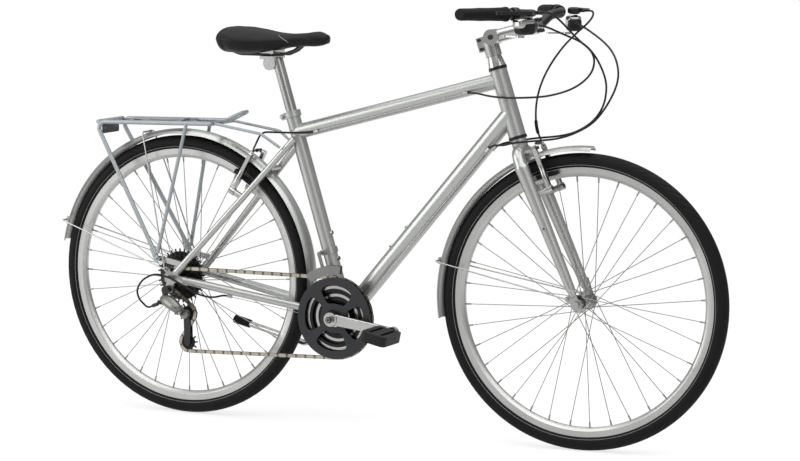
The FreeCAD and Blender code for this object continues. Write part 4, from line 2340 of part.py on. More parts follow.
def rear_derailleur():
    """The rear derailleur: hanger knuckle, swing link, cage knuckle, cage and pulleys."""
    fit = 2 * s.running_fit
    hook_outer = -(s.rear_hub_width / 2 + s.dropout_thickness + s.seat_gap)
    hook = sideways(hanger_point, hook_outer)
    body = stub(hook, -AXIS_Y, s.knuckle_diameter, s.knuckle_length)
    bolt = barrel(
        sideways(hanger_point, hook_outer), AXIS_Y, s.hanger_bolt_diameter, 2 * s.dropout_thickness
    )
    body_middle = hook - AXIS_Y * float(s.knuckle_length / 2)
    pin = barrel(link_root, swing_axis, s.shift_pin_diameter, s.shift_pivot_length * 1.9)
    lug_gap = s.shift_pivot_length / 2 + s.part_gap
    lugs = []
    for end in (-1, 1):
        near = link_root + swing_axis * float(end * (lug_gap + s.cage_plate_thickness))
        lugs.append(barrel(near, swing_axis, s.shift_pivot_diameter, s.cage_plate_thickness * 2))
        lugs.append(rod(body_middle, near, s.shift_pivot_diameter * 0.7))
    room = barrel(
        link_root,
        swing_axis,
        s.shift_pivot_diameter + s.cutter_margin,
        s.shift_pivot_length + 2 * s.part_gap,
    )
    adjuster_way = Vector(-0.93, 0, -0.37).normalize()
    adjuster_start = link_root + Vector(-s.adjuster_setback, -s.adjuster_aside, -s.adjuster_drop)
    holder = rod(body_middle, adjuster_start, s.adjuster_diameter)
    adjuster = stub(adjuster_start, adjuster_way, s.adjuster_diameter, s.adjuster_length)
    knuckle = fuse(body, cut(fuse(*lugs, holder), room), pin, bolt, adjuster)
    node("rear_derailleur_knuckle", [knuckle])
    adjuster_end = adjuster_start + adjuster_way * float(s.adjuster_length)
    ends = [
        barrel(link_root, swing_axis, s.shift_pivot_diameter, s.shift_pivot_length),
        barrel(link_end, swing_axis, s.shift_pivot_diameter, s.shift_pivot_length),
        bar(link_root, link_end, s.shift_link_width, s.shift_link_thickness, swing_axis),
    ]
    holes = [
        barrel(end, swing_axis, s.shift_pin_diameter + fit, s.cutter_margin * 2)
        for end in (link_root, link_end)
    ]
    node("rear_derailleur_link", [cut(fuse(*ends), *holes)])
    outer_plate = -(s.pulley_offset + s.cage_half_gap + s.cage_plate_thickness)
    head_start = sideways(chain_path.guide, outer_plate - s.cage_knuckle_gap)
    head = stub(head_start, -AXIS_Y, s.cage_knuckle_diameter, s.cage_knuckle_length)
    head_middle = head_start - AXIS_Y * float(s.cage_knuckle_length * 0.7)
    swing_pin = barrel(link_end, swing_axis, s.shift_pin_diameter, s.shift_pivot_length * 1.9)
    forks = []
    for end in (-1, 1):
        near = link_end + swing_axis * float(end * (lug_gap + s.cage_plate_thickness))
        forks.append(barrel(near, swing_axis, s.shift_pivot_diameter, s.cage_plate_thickness * 2))
        forks.append(rod(head_middle, near, s.shift_pivot_diameter * 0.7))
    clear = barrel(
        link_end,
        swing_axis,
        s.shift_pivot_diameter + s.cutter_margin * 0.7,
        s.shift_pivot_length + 2 * s.part_gap,
    )
    pivot_pin = barrel(sideways(chain_path.guide, outer_plate - s.cage_knuckle_gap), AXIS_Y,
                       s.pulley_hub_diameter,
                       2 * (s.cage_plate_thickness + s.cage_knuckle_gap) )
    node(
        "rear_derailleur_head",
        [fuse(head, cut(fuse(*forks), clear), swing_pin, cut(pivot_pin, pivot_pin_room()))],
    )
    cage_and_pulleys()
    return adjuster_end, adjuster_way


def pivot_pin_room():
    """The space inside the cage kept clear of the pivot pin."""
    inner = s.cage_half_gap + s.cage_plate_thickness * 0.4
    return barrel(chain_path.guide, AXIS_Y, s.cutter_margin, 2 * inner)


def cage_and_pulleys():
    """The swinging cage with its two pulleys."""
    guide, tension = chain_path.guide, chain_path.tension
    plates = []
    for sign in (-1, 1):
        side = AXIS_Y * float(sign * (s.cage_half_gap + s.cage_plate_thickness / 2))
        plates.append(fuse(
            bar(guide + side, tension + side, s.cage_plate_width, s.cage_plate_thickness, AXIS_Y),
            barrel(guide + side, AXIS_Y, s.cage_plate_width * 1.5, s.cage_plate_thickness),
            barrel(tension + side, AXIS_Y, s.cage_plate_width, s.cage_plate_thickness),
        ))
    span = 2 * (s.cage_half_gap + s.cage_plate_thickness)
    bolts = [barrel(point, AXIS_Y, s.pulley_bolt_diameter, span) for point in (guide, tension)]
    pin_hole = stub(guide - AXIS_Y * float(s.cage_half_gap + s.cage_plate_thickness * 0.3), -AXIS_Y,
                    s.pulley_hub_diameter + 2 * s.running_fit, s.cutter_margin)
    node("rear_derailleur_cage", [cut(fuse(*plates, *bolts), pin_hole)])
    bore = s.pulley_bolt_diameter + 2 * s.running_fit
    for name, point, index in (("guide_pulley", guide, 2), ("tension_pulley", tension, 1)):
        phase = sprocket_phase(index, point)
        wheel_disc = toothed(PULLEY_TEETH, s.pulley_rim_thickness, bore, point, phase)
        hub = ring(point, AXIS_Y, s.pulley_hub_diameter, bore, s.pulley_hub_width)
        node(name, [fuse(wheel_disc, hub)])


front_mech = seat(s.front_mech_rise)


def front_derailleur():
    """The front derailleur: seat tube band and sliding cage."""
    band_outer = barrel(front_mech, seat_way, s.front_band_diameter, s.front_band_height)
    band_bore = barrel(front_mech, seat_way, s.seat_tube_diameter + 2 * s.seat_gap, s.cutter_margin * 2)
    arm_start = front_mech + AXIS_Y * -float(s.seat_tube_diameter / 2)
    slide_back = Vector(-seat_way.z, 0, seat_way.x) * float(s.front_arm_diameter * 0.2)
    sleeve_start = arm_start + slide_back
    sleeve = stub(sleeve_start, -AXIS_Y, s.front_arm_diameter, s.front_sleeve_length)
    bore = stub(sleeve_start, -AXIS_Y, s.front_arm_diameter * 0.6 + 2 * s.running_fit, s.cutter_margin * 3)
    node("front_derailleur_clamp", [cut(fuse(band_outer, sleeve), band_bore, bore)])
    chain_side = -s.ring_offset
    inner_radius = float(s.front_cage_inner_radius)
    tall = float(s.front_cage_height)
    plates = []
    for sign in (-1, 1):
        side = float(chain_side + sign * (s.front_cage_half_gap + s.front_cage_thickness / 2))
        first, last = math.radians(83), math.radians(128)
        steps = []
        for radius, order in ((inner_radius, (first, last)), (inner_radius + tall, (last, first))):
            middle = (first + last) / 2
            spots = [
                Vector(math.cos(a) * radius, 0, math.sin(a) * radius)
                for a in (order[0], middle, order[1])
            ]
            steps.append(spots)
        edges = [
            Part.Arc(*steps[0]).toShape(),
            Part.LineSegment(steps[0][2], steps[1][0]).toShape(),
            Part.Arc(*steps[1]).toShape(),
            Part.LineSegment(steps[1][2], steps[0][0]).toShape(),
        ]
        face = Part.Face(Part.Wire(edges))
        face.translate(sideways(bracket, side - float(s.front_cage_thickness) / 2))
        plates.append(made(face.extrude(AXIS_Y * float(s.front_cage_thickness))))
    ends = []
    for angle in (math.radians(86), math.radians(117)):
        spot = sideways(
            bracket + Vector(math.cos(angle), 0, math.sin(angle)) * (inner_radius + tall * 0.8),
            chain_side,
        )
        ends.append(
            barrel(
                spot,
                AXIS_Y,
                s.front_cage_thickness * 3,
                2 * s.front_cage_half_gap + s.front_cage_thickness,
            ),
        )
    tucked = s.seat_tube_diameter / 2 + s.front_shift_travel + s.moving_gap
    rod_end = sideways(sleeve_start, chain_side + s.front_cage_half_gap)
    slider = rod(sideways(sleeve_start, -tucked), rod_end, s.front_arm_diameter * 0.6)
    high = bracket + Vector(math.cos(math.radians(108)), 0, math.sin(math.radians(108))) * (
        inner_radius + tall * 0.7
    )
    strut_end = sideways(high, chain_side + s.front_cage_half_gap + s.front_cage_thickness / 2)
    strut_start = sideways(rod_end, chain_side + s.front_cage_half_gap + s.front_cage_thickness / 2)
    strut = bar(strut_end, strut_start, s.front_arm_diameter * 0.7, s.front_cage_thickness, AXIS_Y)
    node("front_derailleur_cage", [fuse(*plates, *ends, slider, strut)])


# route points of the handlebar cables in the rest pose, in steps
FRONT_BRAKE_ROUTE = ((417, 120, 955), (393, 100, 897), (384, 80, 846), (384, 62, 800))
REAR_BRAKE_ROUTE = ((555, -85, 958), (581, -75, 937), (588, -68, 912), (576, -62, 880), (536, -55, 849),
                    (484, -50, 831), (432, -45, 822), (327, -36, 817))
REAR_SHIFT_ROUTE = ((503, -60, 971), (532, 0, 948), (547, 40, 912), (561, 55, 870), (565, 58, 840),
                    (559, 56, 800),
                    (536, 53, 765), (499, 50, 740), (458, 47, 727), (393, 43, 720), (369, 40, 716))
FRONT_SHIFT_ROUTE = ((541, 85, 951), (583, 55, 923), (604, 35, 886), (606, 20, 850), (588, 5, 805),
                     (562, -10, 766),
                     (522, -20, 742), (483, -28, 728), (435, -34, 722), (371, -38, 715), (346, -38, 707))
MECH_ROUTE = ((-425, -63, 303), (-457, -78, 311), (-492, -87, 332), (-527, -91, 349),
              (-569, -95, 360), (-606, -98, 340),
              (-620, -99, 315), (-615, -98, 293))


def route(points):
    """Scale a hand list of route points."""
    return [Vector(*point) * float(s.cable_route_step) for point in points]


def housing(points):
    """One cable housing along its route."""
    return pipe(points, s.cable_housing_diameter, s.cable_bend)


def control_exits(sign):
    """Where the brake and shift cables leave one control, with their directions."""
    frame, lever, shift = control_spots(sign)
    tips = {}
    shift_way = -frame.out
    start = frame.spot(
        s.control_inset + s.control_pod_length / 2 - s.moving_gap,
        s.control_pod_forward,
        -s.control_pod_drop,
    )
    tips["shift"] = (start + shift_way * float(s.control_barrel_length + s.seat_gap), shift_way)
    brake_way = (-frame.out + frame.ahead * 0.3).normalize()
    start = lever + brake_way * float(s.lever_boss_diameter / 2 + s.moving_gap)
    tips["brake"] = (start + brake_way * float(s.control_barrel_length + s.seat_gap), brake_way)
    return {
        key: (steered.multVec(point), steered.Rotation.multVec(way))
        for key, (point, way) in tips.items()
    }


def noodle_top(frame, sign):
    """The upper end of a brake noodle."""
    rise = (
        s.brake_arm_length + s.brake_arm_top_diameter / 2 + s.seat_gap + s.noodle_diameter
        + s.noodle_rise
    )
    return frame.spot(sign * (s.brake_post_half_spacing - s.brake_arm_lean), rise)


def handlebar_cables(stops):
    """The four housings from the controls to the front brake and frame stops."""
    down_way = (steer(s.head_tube_start + s.down_tube_head_rise) - bracket).normalize()
    top_way = (steer(head_end - s.top_tube_head_drop) - seat(s.top_tube_seat_rise)).normalize()
    run = float(s.exit_run)
    exits = {name: control_exits(sign) for name, sign in SIDES.items()}
    noodle = steered.multVec(noodle_top(front_brake, NOODLE_SIDE["front"]))
    noodle_way = steered.Rotation.multVec(front_brake.up)
    inset = float(s.seat_gap)
    plans = (
        (exits["left"]["brake"], FRONT_BRAKE_ROUTE, noodle, noodle_way),
        (exits["right"]["brake"], REAR_BRAKE_ROUTE, stops["top_front"], top_way),
        (exits["right"]["shift"], REAR_SHIFT_ROUTE, stops["down_left"], down_way),
        (exits["left"]["shift"], FRONT_SHIFT_ROUTE, stops["down_right"], down_way),
    )
    cables = []
    for (start, way), points, end, end_way in plans:
        last = end + end_way * inset
        line = [start, start + way * run] + route(points) + [last + end_way * run, last]
        cables.append(housing(line))
    node("handlebar_cables", cables)


def frame_cables(stops, adjuster_end, adjuster_way):
    """The bare wires along the frame and the two rear housings."""
    top_way = (steer(head_end - s.top_tube_head_drop) - seat(s.top_tube_seat_rise)).normalize()
    down_end = steer(s.head_tube_start + s.down_tube_head_rise)
    down_way = (down_end - bracket).normalize()
    inset = float(s.seat_gap)
    run = float(s.exit_run)
    wire = s.cable_wire_diameter
    pieces = [rod(stops["top_rear"], stops["top_front"], wire)]
    noodle = noodle_top(rear_brake, NOODLE_SIDE["rear"]) + rear_brake.up * inset
    start = stops["top_rear"] - top_way * inset
    past_seat = start - top_way * float(s.seat_tube_diameter * 1.6)
    past_seat = past_seat + AXIS_Z * float(s.seatstay_diameter / 2)
    past_seat = sideways(past_seat, -(s.seat_tube_diameter / 2 + s.cable_housing_diameter))
    pieces.append(
        housing([start, start - top_way * run, past_seat, noodle + rear_brake.up * run * 2, noodle])
    )
    under = bracket - AXIS_Z * float(s.shell_diameter / 2 + s.guide_thickness / 2 + s.seat_gap)
    pieces.append(block(Placement(under, Rotation()), s.guide_length, s.guide_width, s.guide_thickness))
    for name, sign in SIDES.items():
        top = stops[f"down_{name}"]
        lift = (bracket - top).dot(down_way)
        low = top + down_way * (lift + float(s.shell_diameter * 0.9))
        guide_front = sideways(
            under + AXIS_X * float(s.guide_length / 2 + s.part_gap), sign * s.guide_width * 0.3
        )
        pieces.append(pipe([top, low, guide_front], wire, s.cable_wire_diameter * 4))
    stay_stop = stops["chainstay"]
    stay = chainstay_points(-1)
    lower_way = (stay[3] - stay[2]).normalize()
    back = stay[2] - AXIS_Z * float(s.stay_wire_drop)
    front = sideways(under - AXIS_X * float(s.guide_length / 2 + s.part_gap), -s.guide_width * 0.4)
    pieces.append(
        pipe(
            [front, sideways(back, -s.stay_wire_side), stay_stop - lower_way * inset * 4],
            wire,
            s.cable_bend,
        ),
    )
    line = [stay_stop + lower_way * inset, stay_stop + lower_way * run] + route(MECH_ROUTE)
    line += [adjuster_end + adjuster_way * run, adjuster_end + adjuster_way * inset]
    pieces.append(housing(line))
    mech_end = front_mech - seat_way * float(s.front_arm_diameter / 2 + s.seat_gap * 4)
    mech_end = sideways(mech_end, -(s.seat_tube_diameter / 2 + s.front_sleeve_length * 0.4))
    wire_start = sideways(under - AXIS_X * float(s.guide_length / 2 + s.part_gap), -s.front_wire_side)
    wire_low = sideways(
        bracket - AXIS_X * float(s.front_wire_back) - AXIS_Z * float(s.shell_diameter / 2),
        -s.front_wire_side,
    )
    pieces.append(pipe([wire_start, wire_low, mech_end], wire, s.cable_wire_diameter * 4))
    node("frame_cables", pieces)


def wheels():
    """Both wheels and their axles."""
    front_end = s.front_hub_width / 2 - s.hub_end_inset
    half = s.front_flange_spacing / 2
    front_hub = hub_outline(
        front_end,
        front_end,
        half,
        half,
        s.front_flange_diameter,
        s.front_barrel_diameter,
        s.hub_end_diameter,
    )
    hole_circle = s.front_flange_diameter / 2 - s.spoke_diameter * 1.5
    wheel(
        "front",
        front_axle,
        front_hub,
        ((half, hole_circle), (-half, hole_circle)),
        steered,
        math.radians(4),
    )
    node(
        "front_axle",
        [
            axle_set(
                front_axle,
                s.front_hub_width / 2,
                front_end,
                front_end,
                s.fork_tip_thickness,
                math.radians(112),
            ),
        ],
        steered,
    )
    inner_end = cassette()
    rear_end = s.rear_hub_width / 2 - s.hub_end_inset
    right_end = -inner_end - s.moving_gap * 0.75
    rear_hub = hub_outline(rear_end, right_end, s.rear_left_flange, s.rear_right_flange,
                           s.rear_flange_diameter,
                           s.rear_barrel_diameter, s.hub_end_diameter)
    hole_circle = s.rear_flange_diameter / 2 - s.spoke_diameter * 1.5
    flanges = ((s.rear_left_flange, hole_circle), (-s.rear_right_flange, hole_circle))
    wheel("rear", rear_axle, rear_hub, flanges, None, math.radians(1))
    cog_end = s.first_cog_offset + s.cog_thickness * 1.5 + s.seat_gap
    node(
        "rear_axle",
        [
            axle_set(
                rear_axle,
                s.rear_hub_width / 2,
                rear_end,
                cog_end,
                s.dropout_thickness,
                math.radians(215),
            ),
        ],
    )


def build():
    """Build every sub-part, check it and write it out."""
    tubes = frame_tubes()
    rear_stays(tubes)
    bearing_cups()
    seat_clamp()
    stops = frame_fittings(tubes)
    seat_post()
    saddle()
    wheels()
    chain()
    crankset()
    fork()
    stem()
    handlebar()
    grips()
    controls()
    brakes()
    mudguards()
    luggage_rack()
    kickstand()
    adjuster_end, adjuster_way = rear_derailleur()
    front_derailleur()
    handlebar_cables(stops)
    frame_cables(stops, adjuster_end, adjuster_way)
    doc.recompute()
    for item in doc.Objects:
        if "Invalid" in item.State or "Error" in item.State:
            raise RuntimeError(f"{item.Name} {item.Label} is not built: {item.State}")
    os.makedirs("parts", exist_ok=True)
    for whole in NODES:
        if not whole.Shape.isValid() or not whole.Shape.Solids:
            raise RuntimeError(f"{whole.Label} has no valid solid")
        whole.Shape.exportStep(f"parts/{whole.Label}.step")


build()
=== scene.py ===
"""Looks of a hybrid bicycle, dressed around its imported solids, in metres and in the same frame."""

import logging
import math
from dataclasses import dataclass
from enum import Enum
from typing import Callable, Dict, List, Sequence, Tuple, Union

import bmesh
import bpy
import numpy as np
from bpy.types import Curve, Material, Mesh, Node, NodeSocket, NodeTree, Object, Spline
from mathutils import Matrix, Vector


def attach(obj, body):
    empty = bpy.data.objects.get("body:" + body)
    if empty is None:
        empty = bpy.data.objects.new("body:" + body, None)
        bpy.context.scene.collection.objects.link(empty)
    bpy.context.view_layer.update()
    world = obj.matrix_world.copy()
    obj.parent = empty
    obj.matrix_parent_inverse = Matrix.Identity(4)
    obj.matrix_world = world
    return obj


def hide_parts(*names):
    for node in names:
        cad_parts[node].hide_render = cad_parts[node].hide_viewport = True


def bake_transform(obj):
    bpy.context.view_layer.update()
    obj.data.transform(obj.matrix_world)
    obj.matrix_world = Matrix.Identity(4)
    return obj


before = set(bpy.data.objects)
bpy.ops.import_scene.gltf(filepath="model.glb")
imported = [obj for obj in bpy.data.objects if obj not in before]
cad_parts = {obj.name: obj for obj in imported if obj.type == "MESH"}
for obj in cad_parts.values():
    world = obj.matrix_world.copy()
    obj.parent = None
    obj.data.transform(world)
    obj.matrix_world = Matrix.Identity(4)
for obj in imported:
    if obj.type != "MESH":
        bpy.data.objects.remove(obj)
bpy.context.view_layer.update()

LOG = logging.getLogger("bicycle")
MM = 0.001
NO_LENGTH = 1e-9
MERGE_DISTANCE = 0.0005 * MM
WELD_DISTANCE = 0.002 * MM
CREASE_ANGLE = math.radians(32.0)
CORNER_STEPS = 2.0e5
FAR = 1.0e9

Colour = Tuple[float, float, float]
Point = Tuple[float, float, float]
Array = np.ndarray
Axes = Tuple[Array, Array, Array]

FRONT_AXLE = np.array((533.844, 3.748, 346.949)) * MM
FRONT_AXIS = np.array((-0.0828900, 0.9961947, -0.0269326))
REAR_AXLE = np.array((-534.0, 0.0, 347.0)) * MM
REAR_AXIS = np.array((0.0, 1.0, 0.0))
BRACKET = np.array((-84.979, 0.0, 276.0)) * MM
TUBE_UP = np.array((0.31, 0.87, 0.38))
BROAD_SCALE = 14.0
BROAD_SHARE = 0.4
FINE_SHARE = 0.6
PLAIN_DETAIL = 3.0
STAIN_DETAIL = 6.0
MASK_EDGES = (0.25, 0.75)
BUMP_STRENGTH = 0.6
MIX_FIRST = 6
MIX_SECOND = 7
MIX_RESULT = 2
# Radii of the chainrings' toothed edges, which carry a painted highlight.
RING_EDGES = (54.5, 74.5, 95.0)
RING_EDGE_DEPTH = 3.2


class Pattern(Enum):
    """The fine structure that a finish shows from close by."""

    BRUSHED = "brushed"
    MOULDED = "moulded"
    PEBBLED = "pebbled"
    STAINED = "stained"
    TEETH_HIGHLIGHT = "teeth_highlight"


@dataclass(frozen=True)
class Finish:
    """One finish of the bicycle, as the values of its material.

    Attributes:
        name: Name of the material.
        light: Colour where the pattern's mask is 1.
        dark: Colour where the pattern's mask is 0.
        pattern: Fine structure of the surface.
        scale: Cells of the pattern in one metre.
        metallic: How far the surface is bare metal.
        smooth: Lowest roughness.
        rough: Highest roughness.
        bump: Height of the pattern in millimetres.
        shine: Level of the mirror share, 0.5 for a plain surface.
        stretch: How far the pattern is drawn out along X, Y and Z.
    """

    name: str
    light: Colour
    dark: Colour
    pattern: Pattern
    scale: float
    metallic: float = 0.0
    smooth: float = 0.3
    rough: float = 0.4
    bump: float = 0.05
    shine: float = 0.5
    stretch: Point = (1.0, 1.0, 1.0)


class Graph:
    """A small helper that adds and joins the nodes of one tree."""

    def __init__(self, tree: NodeTree) -> None:
        """Keep the tree that the nodes go into."""
        self.tree = tree

    def add(self, kind: str, *feeds: object, **values: object) -> Node:
        """Add one node.

        Args:
            kind: Blender's name for the node type.
            *feeds: What its first inputs take, in order.
            **values: Attributes of the node, or what its inputs take by name.

        Returns:
            The new node.
        """
        node = self.tree.nodes.new(kind)
        for key, value in values.items():
            if hasattr(node, key):
                setattr(node, key, value)
            else:
                self.feed(node.inputs[key.replace("_", " ")], value)
        for target, value in zip(node.inputs, feeds):
            self.feed(target, value)
        return node

    def feed(self, target: NodeSocket, value: object) -> None:
        """Join an output to an input, or set the input to a plain value."""
        if isinstance(value, NodeSocket):
            self.tree.links.new(value, target)
        else:
            target.default_value = value


class PatternLibrary:
    """The node groups that several finishes share, each built once."""

    def __init__(self) -> None:
        """Start with no groups."""
        self.groups: Dict[Pattern, NodeTree] = {}

    def group(self, pattern: Pattern) -> NodeTree:
        """Give the node group of a pattern, and build it at the first call.

        Args:
            pattern: The pattern that is asked for.

        Returns:
            A group with the inputs Scale and Stretch and the outputs Mask and Height.
        """
        if pattern not in self.groups:
            self.groups[pattern] = self.build(pattern)
        return self.groups[pattern]

    def build(self, pattern: Pattern) -> NodeTree:
        """Build the group of one pattern on Object coordinates.

        Args:
            pattern: The pattern to build.

        Returns:
            The new node group.
        """
        tree = bpy.data.node_groups.new(f"pattern_{pattern.value}", "ShaderNodeTree")
        for name, kind in (("Scale", "NodeSocketFloat"), ("Stretch", "NodeSocketVector")):
            tree.interface.new_socket(name=name, in_out="INPUT", socket_type=kind)
        for name in ("Mask", "Height"):
            tree.interface.new_socket(name=name, in_out="OUTPUT", socket_type="NodeSocketFloat")
        graph = Graph(tree)
        mask, height = self.teeth_highlight(graph) if pattern is Pattern.TEETH_HIGHLIGHT else self.texture(graph, pattern)
        graph.add("NodeGroupOutput", Mask=mask, Height=height)
        return tree

    @staticmethod
    def texture(graph: Graph, pattern: Pattern) -> Tuple[NodeSocket, NodeSocket]:
        """Mix a fine noise or cell texture with broad clouds.

        Args:
            graph: The graph of the group.
            pattern: The pattern to build.

        Returns:
            The sockets of the mask and of the height.
        """
        entry = graph.add("NodeGroupInput").outputs
        place = graph.add("ShaderNodeTexCoord").outputs["Object"]
        drawn = graph.add("ShaderNodeVectorMath", place, entry["Stretch"], operation="MULTIPLY").outputs[0]
        broad = graph.add("ShaderNodeTexNoise", place, Scale=BROAD_SCALE, Detail=PLAIN_DETAIL)
        if pattern is Pattern.PEBBLED:
            fine = graph.add("ShaderNodeTexVoronoi", drawn, Scale=entry["Scale"])
            value = fine.outputs["Distance"]
        else:
            detail = STAIN_DETAIL if pattern is Pattern.STAINED else PLAIN_DETAIL
            fine = graph.add("ShaderNodeTexNoise", drawn, Scale=entry["Scale"], Detail=detail)
            value = fine.outputs["Fac"]
        share = graph.add("ShaderNodeMath", broad.outputs["Fac"], BROAD_SHARE, operation="MULTIPLY")
        mixed = graph.add("ShaderNodeMath", value, FINE_SHARE, share.outputs[0], operation="MULTIPLY_ADD")
        low, high = MASK_EDGES
        spread = graph.add("ShaderNodeMapRange", mixed.outputs[0], From_Min=low, From_Max=high)
        return spread.outputs["Result"], value

    @staticmethod
    def teeth_highlight(graph: Graph) -> Tuple[NodeSocket, NodeSocket]:
        """Make a mask that is 1 on the toothed edge of each chainring, for a painted highlight there.

        Args:
            graph: The graph of the group.

        Returns:
            The sockets of the mask and of the height.
        """
        place = graph.add("ShaderNodeTexCoord").outputs["Object"]
        middle = (BRACKET[0], 0.0, BRACKET[2])
        around = graph.add("ShaderNodeVectorMath", place, middle, operation="SUBTRACT")
        flat = graph.add("ShaderNodeVectorMath", around.outputs[0], (1.0, 0.0, 1.0), operation="MULTIPLY")
        reach = graph.add("ShaderNodeVectorMath", flat.outputs[0], operation="LENGTH").outputs["Value"]
        bands = []
        for radius in RING_EDGES:
            band = graph.add("ShaderNodeMath", reach, radius * MM, RING_EDGE_DEPTH * MM, operation="COMPARE")
            bands.append(band.outputs[0])
        total = bands[0]
        for band in bands[1:]:
            total = graph.add("ShaderNodeMath", total, band, operation="MAXIMUM").outputs[0]
        return total, total


class Paintbox:
    """Makes the materials of the finishes, each once."""

    def __init__(self) -> None:
        """Start with an empty box."""
        self.library = PatternLibrary()
        self.made: Dict[str, Material] = {}

    def material(self, finish: Finish) -> Material:
        """Give the material of a finish, and make it at the first call.

        Args:
            finish: The finish to show.

        Returns:
            Its material.
        """
        if finish.name not in self.made:
            self.made[finish.name] = self.make(finish)
        return self.made[finish.name]

    def make(self, finish: Finish) -> Material:
        """Make a material whose colour, roughness and bump follow the pattern.

        Args:
            finish: The finish to show.

        Returns:
            The new material.
        """
        material = bpy.data.materials.new(finish.name)
        material.use_nodes = True
        tree = material.node_tree
        graph = Graph(tree)
        shader = tree.nodes["Principled BSDF"]
        pattern = graph.add("ShaderNodeGroup")
        pattern.node_tree = self.library.group(finish.pattern)
        pattern.inputs["Scale"].default_value = finish.scale
        pattern.inputs["Stretch"].default_value = finish.stretch
        tint = graph.add("ShaderNodeMix", pattern.outputs["Mask"], data_type="RGBA")
        tint.inputs[MIX_FIRST].default_value = (*finish.dark, 1.0)
        tint.inputs[MIX_SECOND].default_value = (*finish.light, 1.0)
        gloss = graph.add("ShaderNodeMapRange", pattern.outputs["Mask"], To_Min=finish.rough,
                          To_Max=finish.smooth)
        looks = {"Base Color": tint.outputs[MIX_RESULT], "Roughness": gloss.outputs["Result"],
                 "Metallic": finish.metallic, "Specular IOR Level": finish.shine}
        if finish.bump > 0.0:
            bump = graph.add("ShaderNodeBump", Strength=BUMP_STRENGTH, Distance=finish.bump * MM,
                             Height=pattern.outputs["Height"])
            looks["Normal"] = bump.outputs["Normal"]
        for name, value in looks.items():
            graph.feed(shader.inputs[name], value)
        return material


SILVER_PAINT = Finish("silver_paint", (0.395, 0.402, 0.39), (0.37, 0.377, 0.366), Pattern.MOULDED, 90.0,
                      metallic=0.85, smooth=0.31, rough=0.35, bump=0.0, shine=0.4)
POLISHED_ALLOY = Finish("polished_alloy", (0.47, 0.47, 0.46), (0.36, 0.36, 0.352), Pattern.BRUSHED, 320.0,
                        metallic=1.0, smooth=0.16, rough=0.26, bump=0.01, stretch=(0.3, 1.0, 1.0))
MACHINED_RIM = Finish("machined_rim", (0.50, 0.50, 0.49), (0.38, 0.38, 0.375), Pattern.BRUSHED, 500.0,
                      metallic=0.9, smooth=0.28, rough=0.40, bump=0.01, stretch=(1.0, 3.0, 1.0))
RACK_ALLOY = Finish("rack_alloy", (0.33, 0.35, 0.36), (0.25, 0.27, 0.28), Pattern.MOULDED, 900.0,
                    metallic=0.7, smooth=0.34, rough=0.46, bump=0.01)
BRIGHT_STEEL = Finish("bright_steel", (0.46, 0.46, 0.45), (0.33, 0.33, 0.32), Pattern.BRUSHED, 600.0,
                      metallic=1.0, smooth=0.20, rough=0.34, bump=0.01, stretch=(1.0, 1.0, 0.3))
SPOKE_STEEL = Finish("spoke_steel", (0.30, 0.30, 0.29), (0.20, 0.20, 0.195), Pattern.BRUSHED, 900.0,
                     metallic=0.9, smooth=0.22, rough=0.34, bump=0.0)
# Dark chainrings with a painted highlight on their toothed edges.
RING_STEEL = Finish("ring_steel", (0.40, 0.40, 0.39), (0.022, 0.022, 0.023), Pattern.TEETH_HIGHLIGHT, 1.0,
                    metallic=0.95, smooth=0.24, rough=0.36, bump=0.0)
DARK_STEEL = Finish("dark_steel", (0.045, 0.045, 0.047), (0.018, 0.018, 0.019), Pattern.STAINED, 500.0,
                    metallic=0.7, smooth=0.30, rough=0.46, bump=0.02)
GREY_ALLOY = Finish("grey_alloy", (0.22, 0.22, 0.21), (0.14, 0.14, 0.135), Pattern.MOULDED, 700.0,
                    metallic=0.8, smooth=0.28, rough=0.42, bump=0.01)
CHAIN_STEEL = Finish("chain_steel", (0.50, 0.47, 0.41), (0.24, 0.22, 0.18), Pattern.STAINED, 260.0,
                     metallic=1.0, smooth=0.24, rough=0.42, bump=0.02)
# Painted shade: the chain's inner links, which sit between the outer plates, are painted darker.
CHAIN_SHADE = Finish("chain_shade", (0.17, 0.155, 0.13), (0.07, 0.062, 0.05), Pattern.STAINED, 260.0,
                     metallic=0.9, smooth=0.28, rough=0.46, bump=0.02)
BLACK_ALLOY = Finish("black_alloy", (0.012, 0.012, 0.0125), (0.007, 0.007, 0.0075), Pattern.MOULDED, 900.0,
                     metallic=0.2, smooth=0.22, rough=0.34, bump=0.01, shine=0.30)
BLACK_RESIN = Finish("black_resin", (0.010, 0.010, 0.011), (0.006, 0.006, 0.0065), Pattern.MOULDED, 1500.0,
                     smooth=0.38, rough=0.55, bump=0.06, shine=0.18)
GUARD_RESIN = Finish("guard_resin", (0.019, 0.0195, 0.022), (0.012, 0.0125, 0.014), Pattern.MOULDED, 1200.0,
                     smooth=0.30, rough=0.44, bump=0.03, shine=0.30)
GRIP_RUBBER = Finish("grip_rubber", (0.009, 0.009, 0.0095), (0.005, 0.005, 0.005), Pattern.PEBBLED, 480.0,
                     smooth=0.52, rough=0.68, bump=0.25, shine=0.10)
TYRE_RUBBER = Finish("tyre_rubber", (0.0085, 0.0085, 0.009), (0.0045, 0.0045, 0.0048), Pattern.MOULDED,
                     800.0, smooth=0.50, rough=0.68, bump=0.08, shine=0.10)
TYRE_LINE = Finish("tyre_line", (0.20, 0.20, 0.195), (0.15, 0.15, 0.148), Pattern.MOULDED, 800.0,
                   smooth=0.45, rough=0.60, bump=0.0)
SADDLE_VINYL = Finish("saddle_vinyl", (0.008, 0.008, 0.0085), (0.0045, 0.0045, 0.0047), Pattern.PEBBLED,
                      620.0, smooth=0.40, rough=0.58, bump=0.18, shine=0.14)
CABLE_SHEATH = Finish("cable_sheath", (0.008, 0.008, 0.0085), (0.005, 0.005, 0.0053), Pattern.MOULDED,
                      1200.0, smooth=0.24, rough=0.36, bump=0.01, shine=0.20)

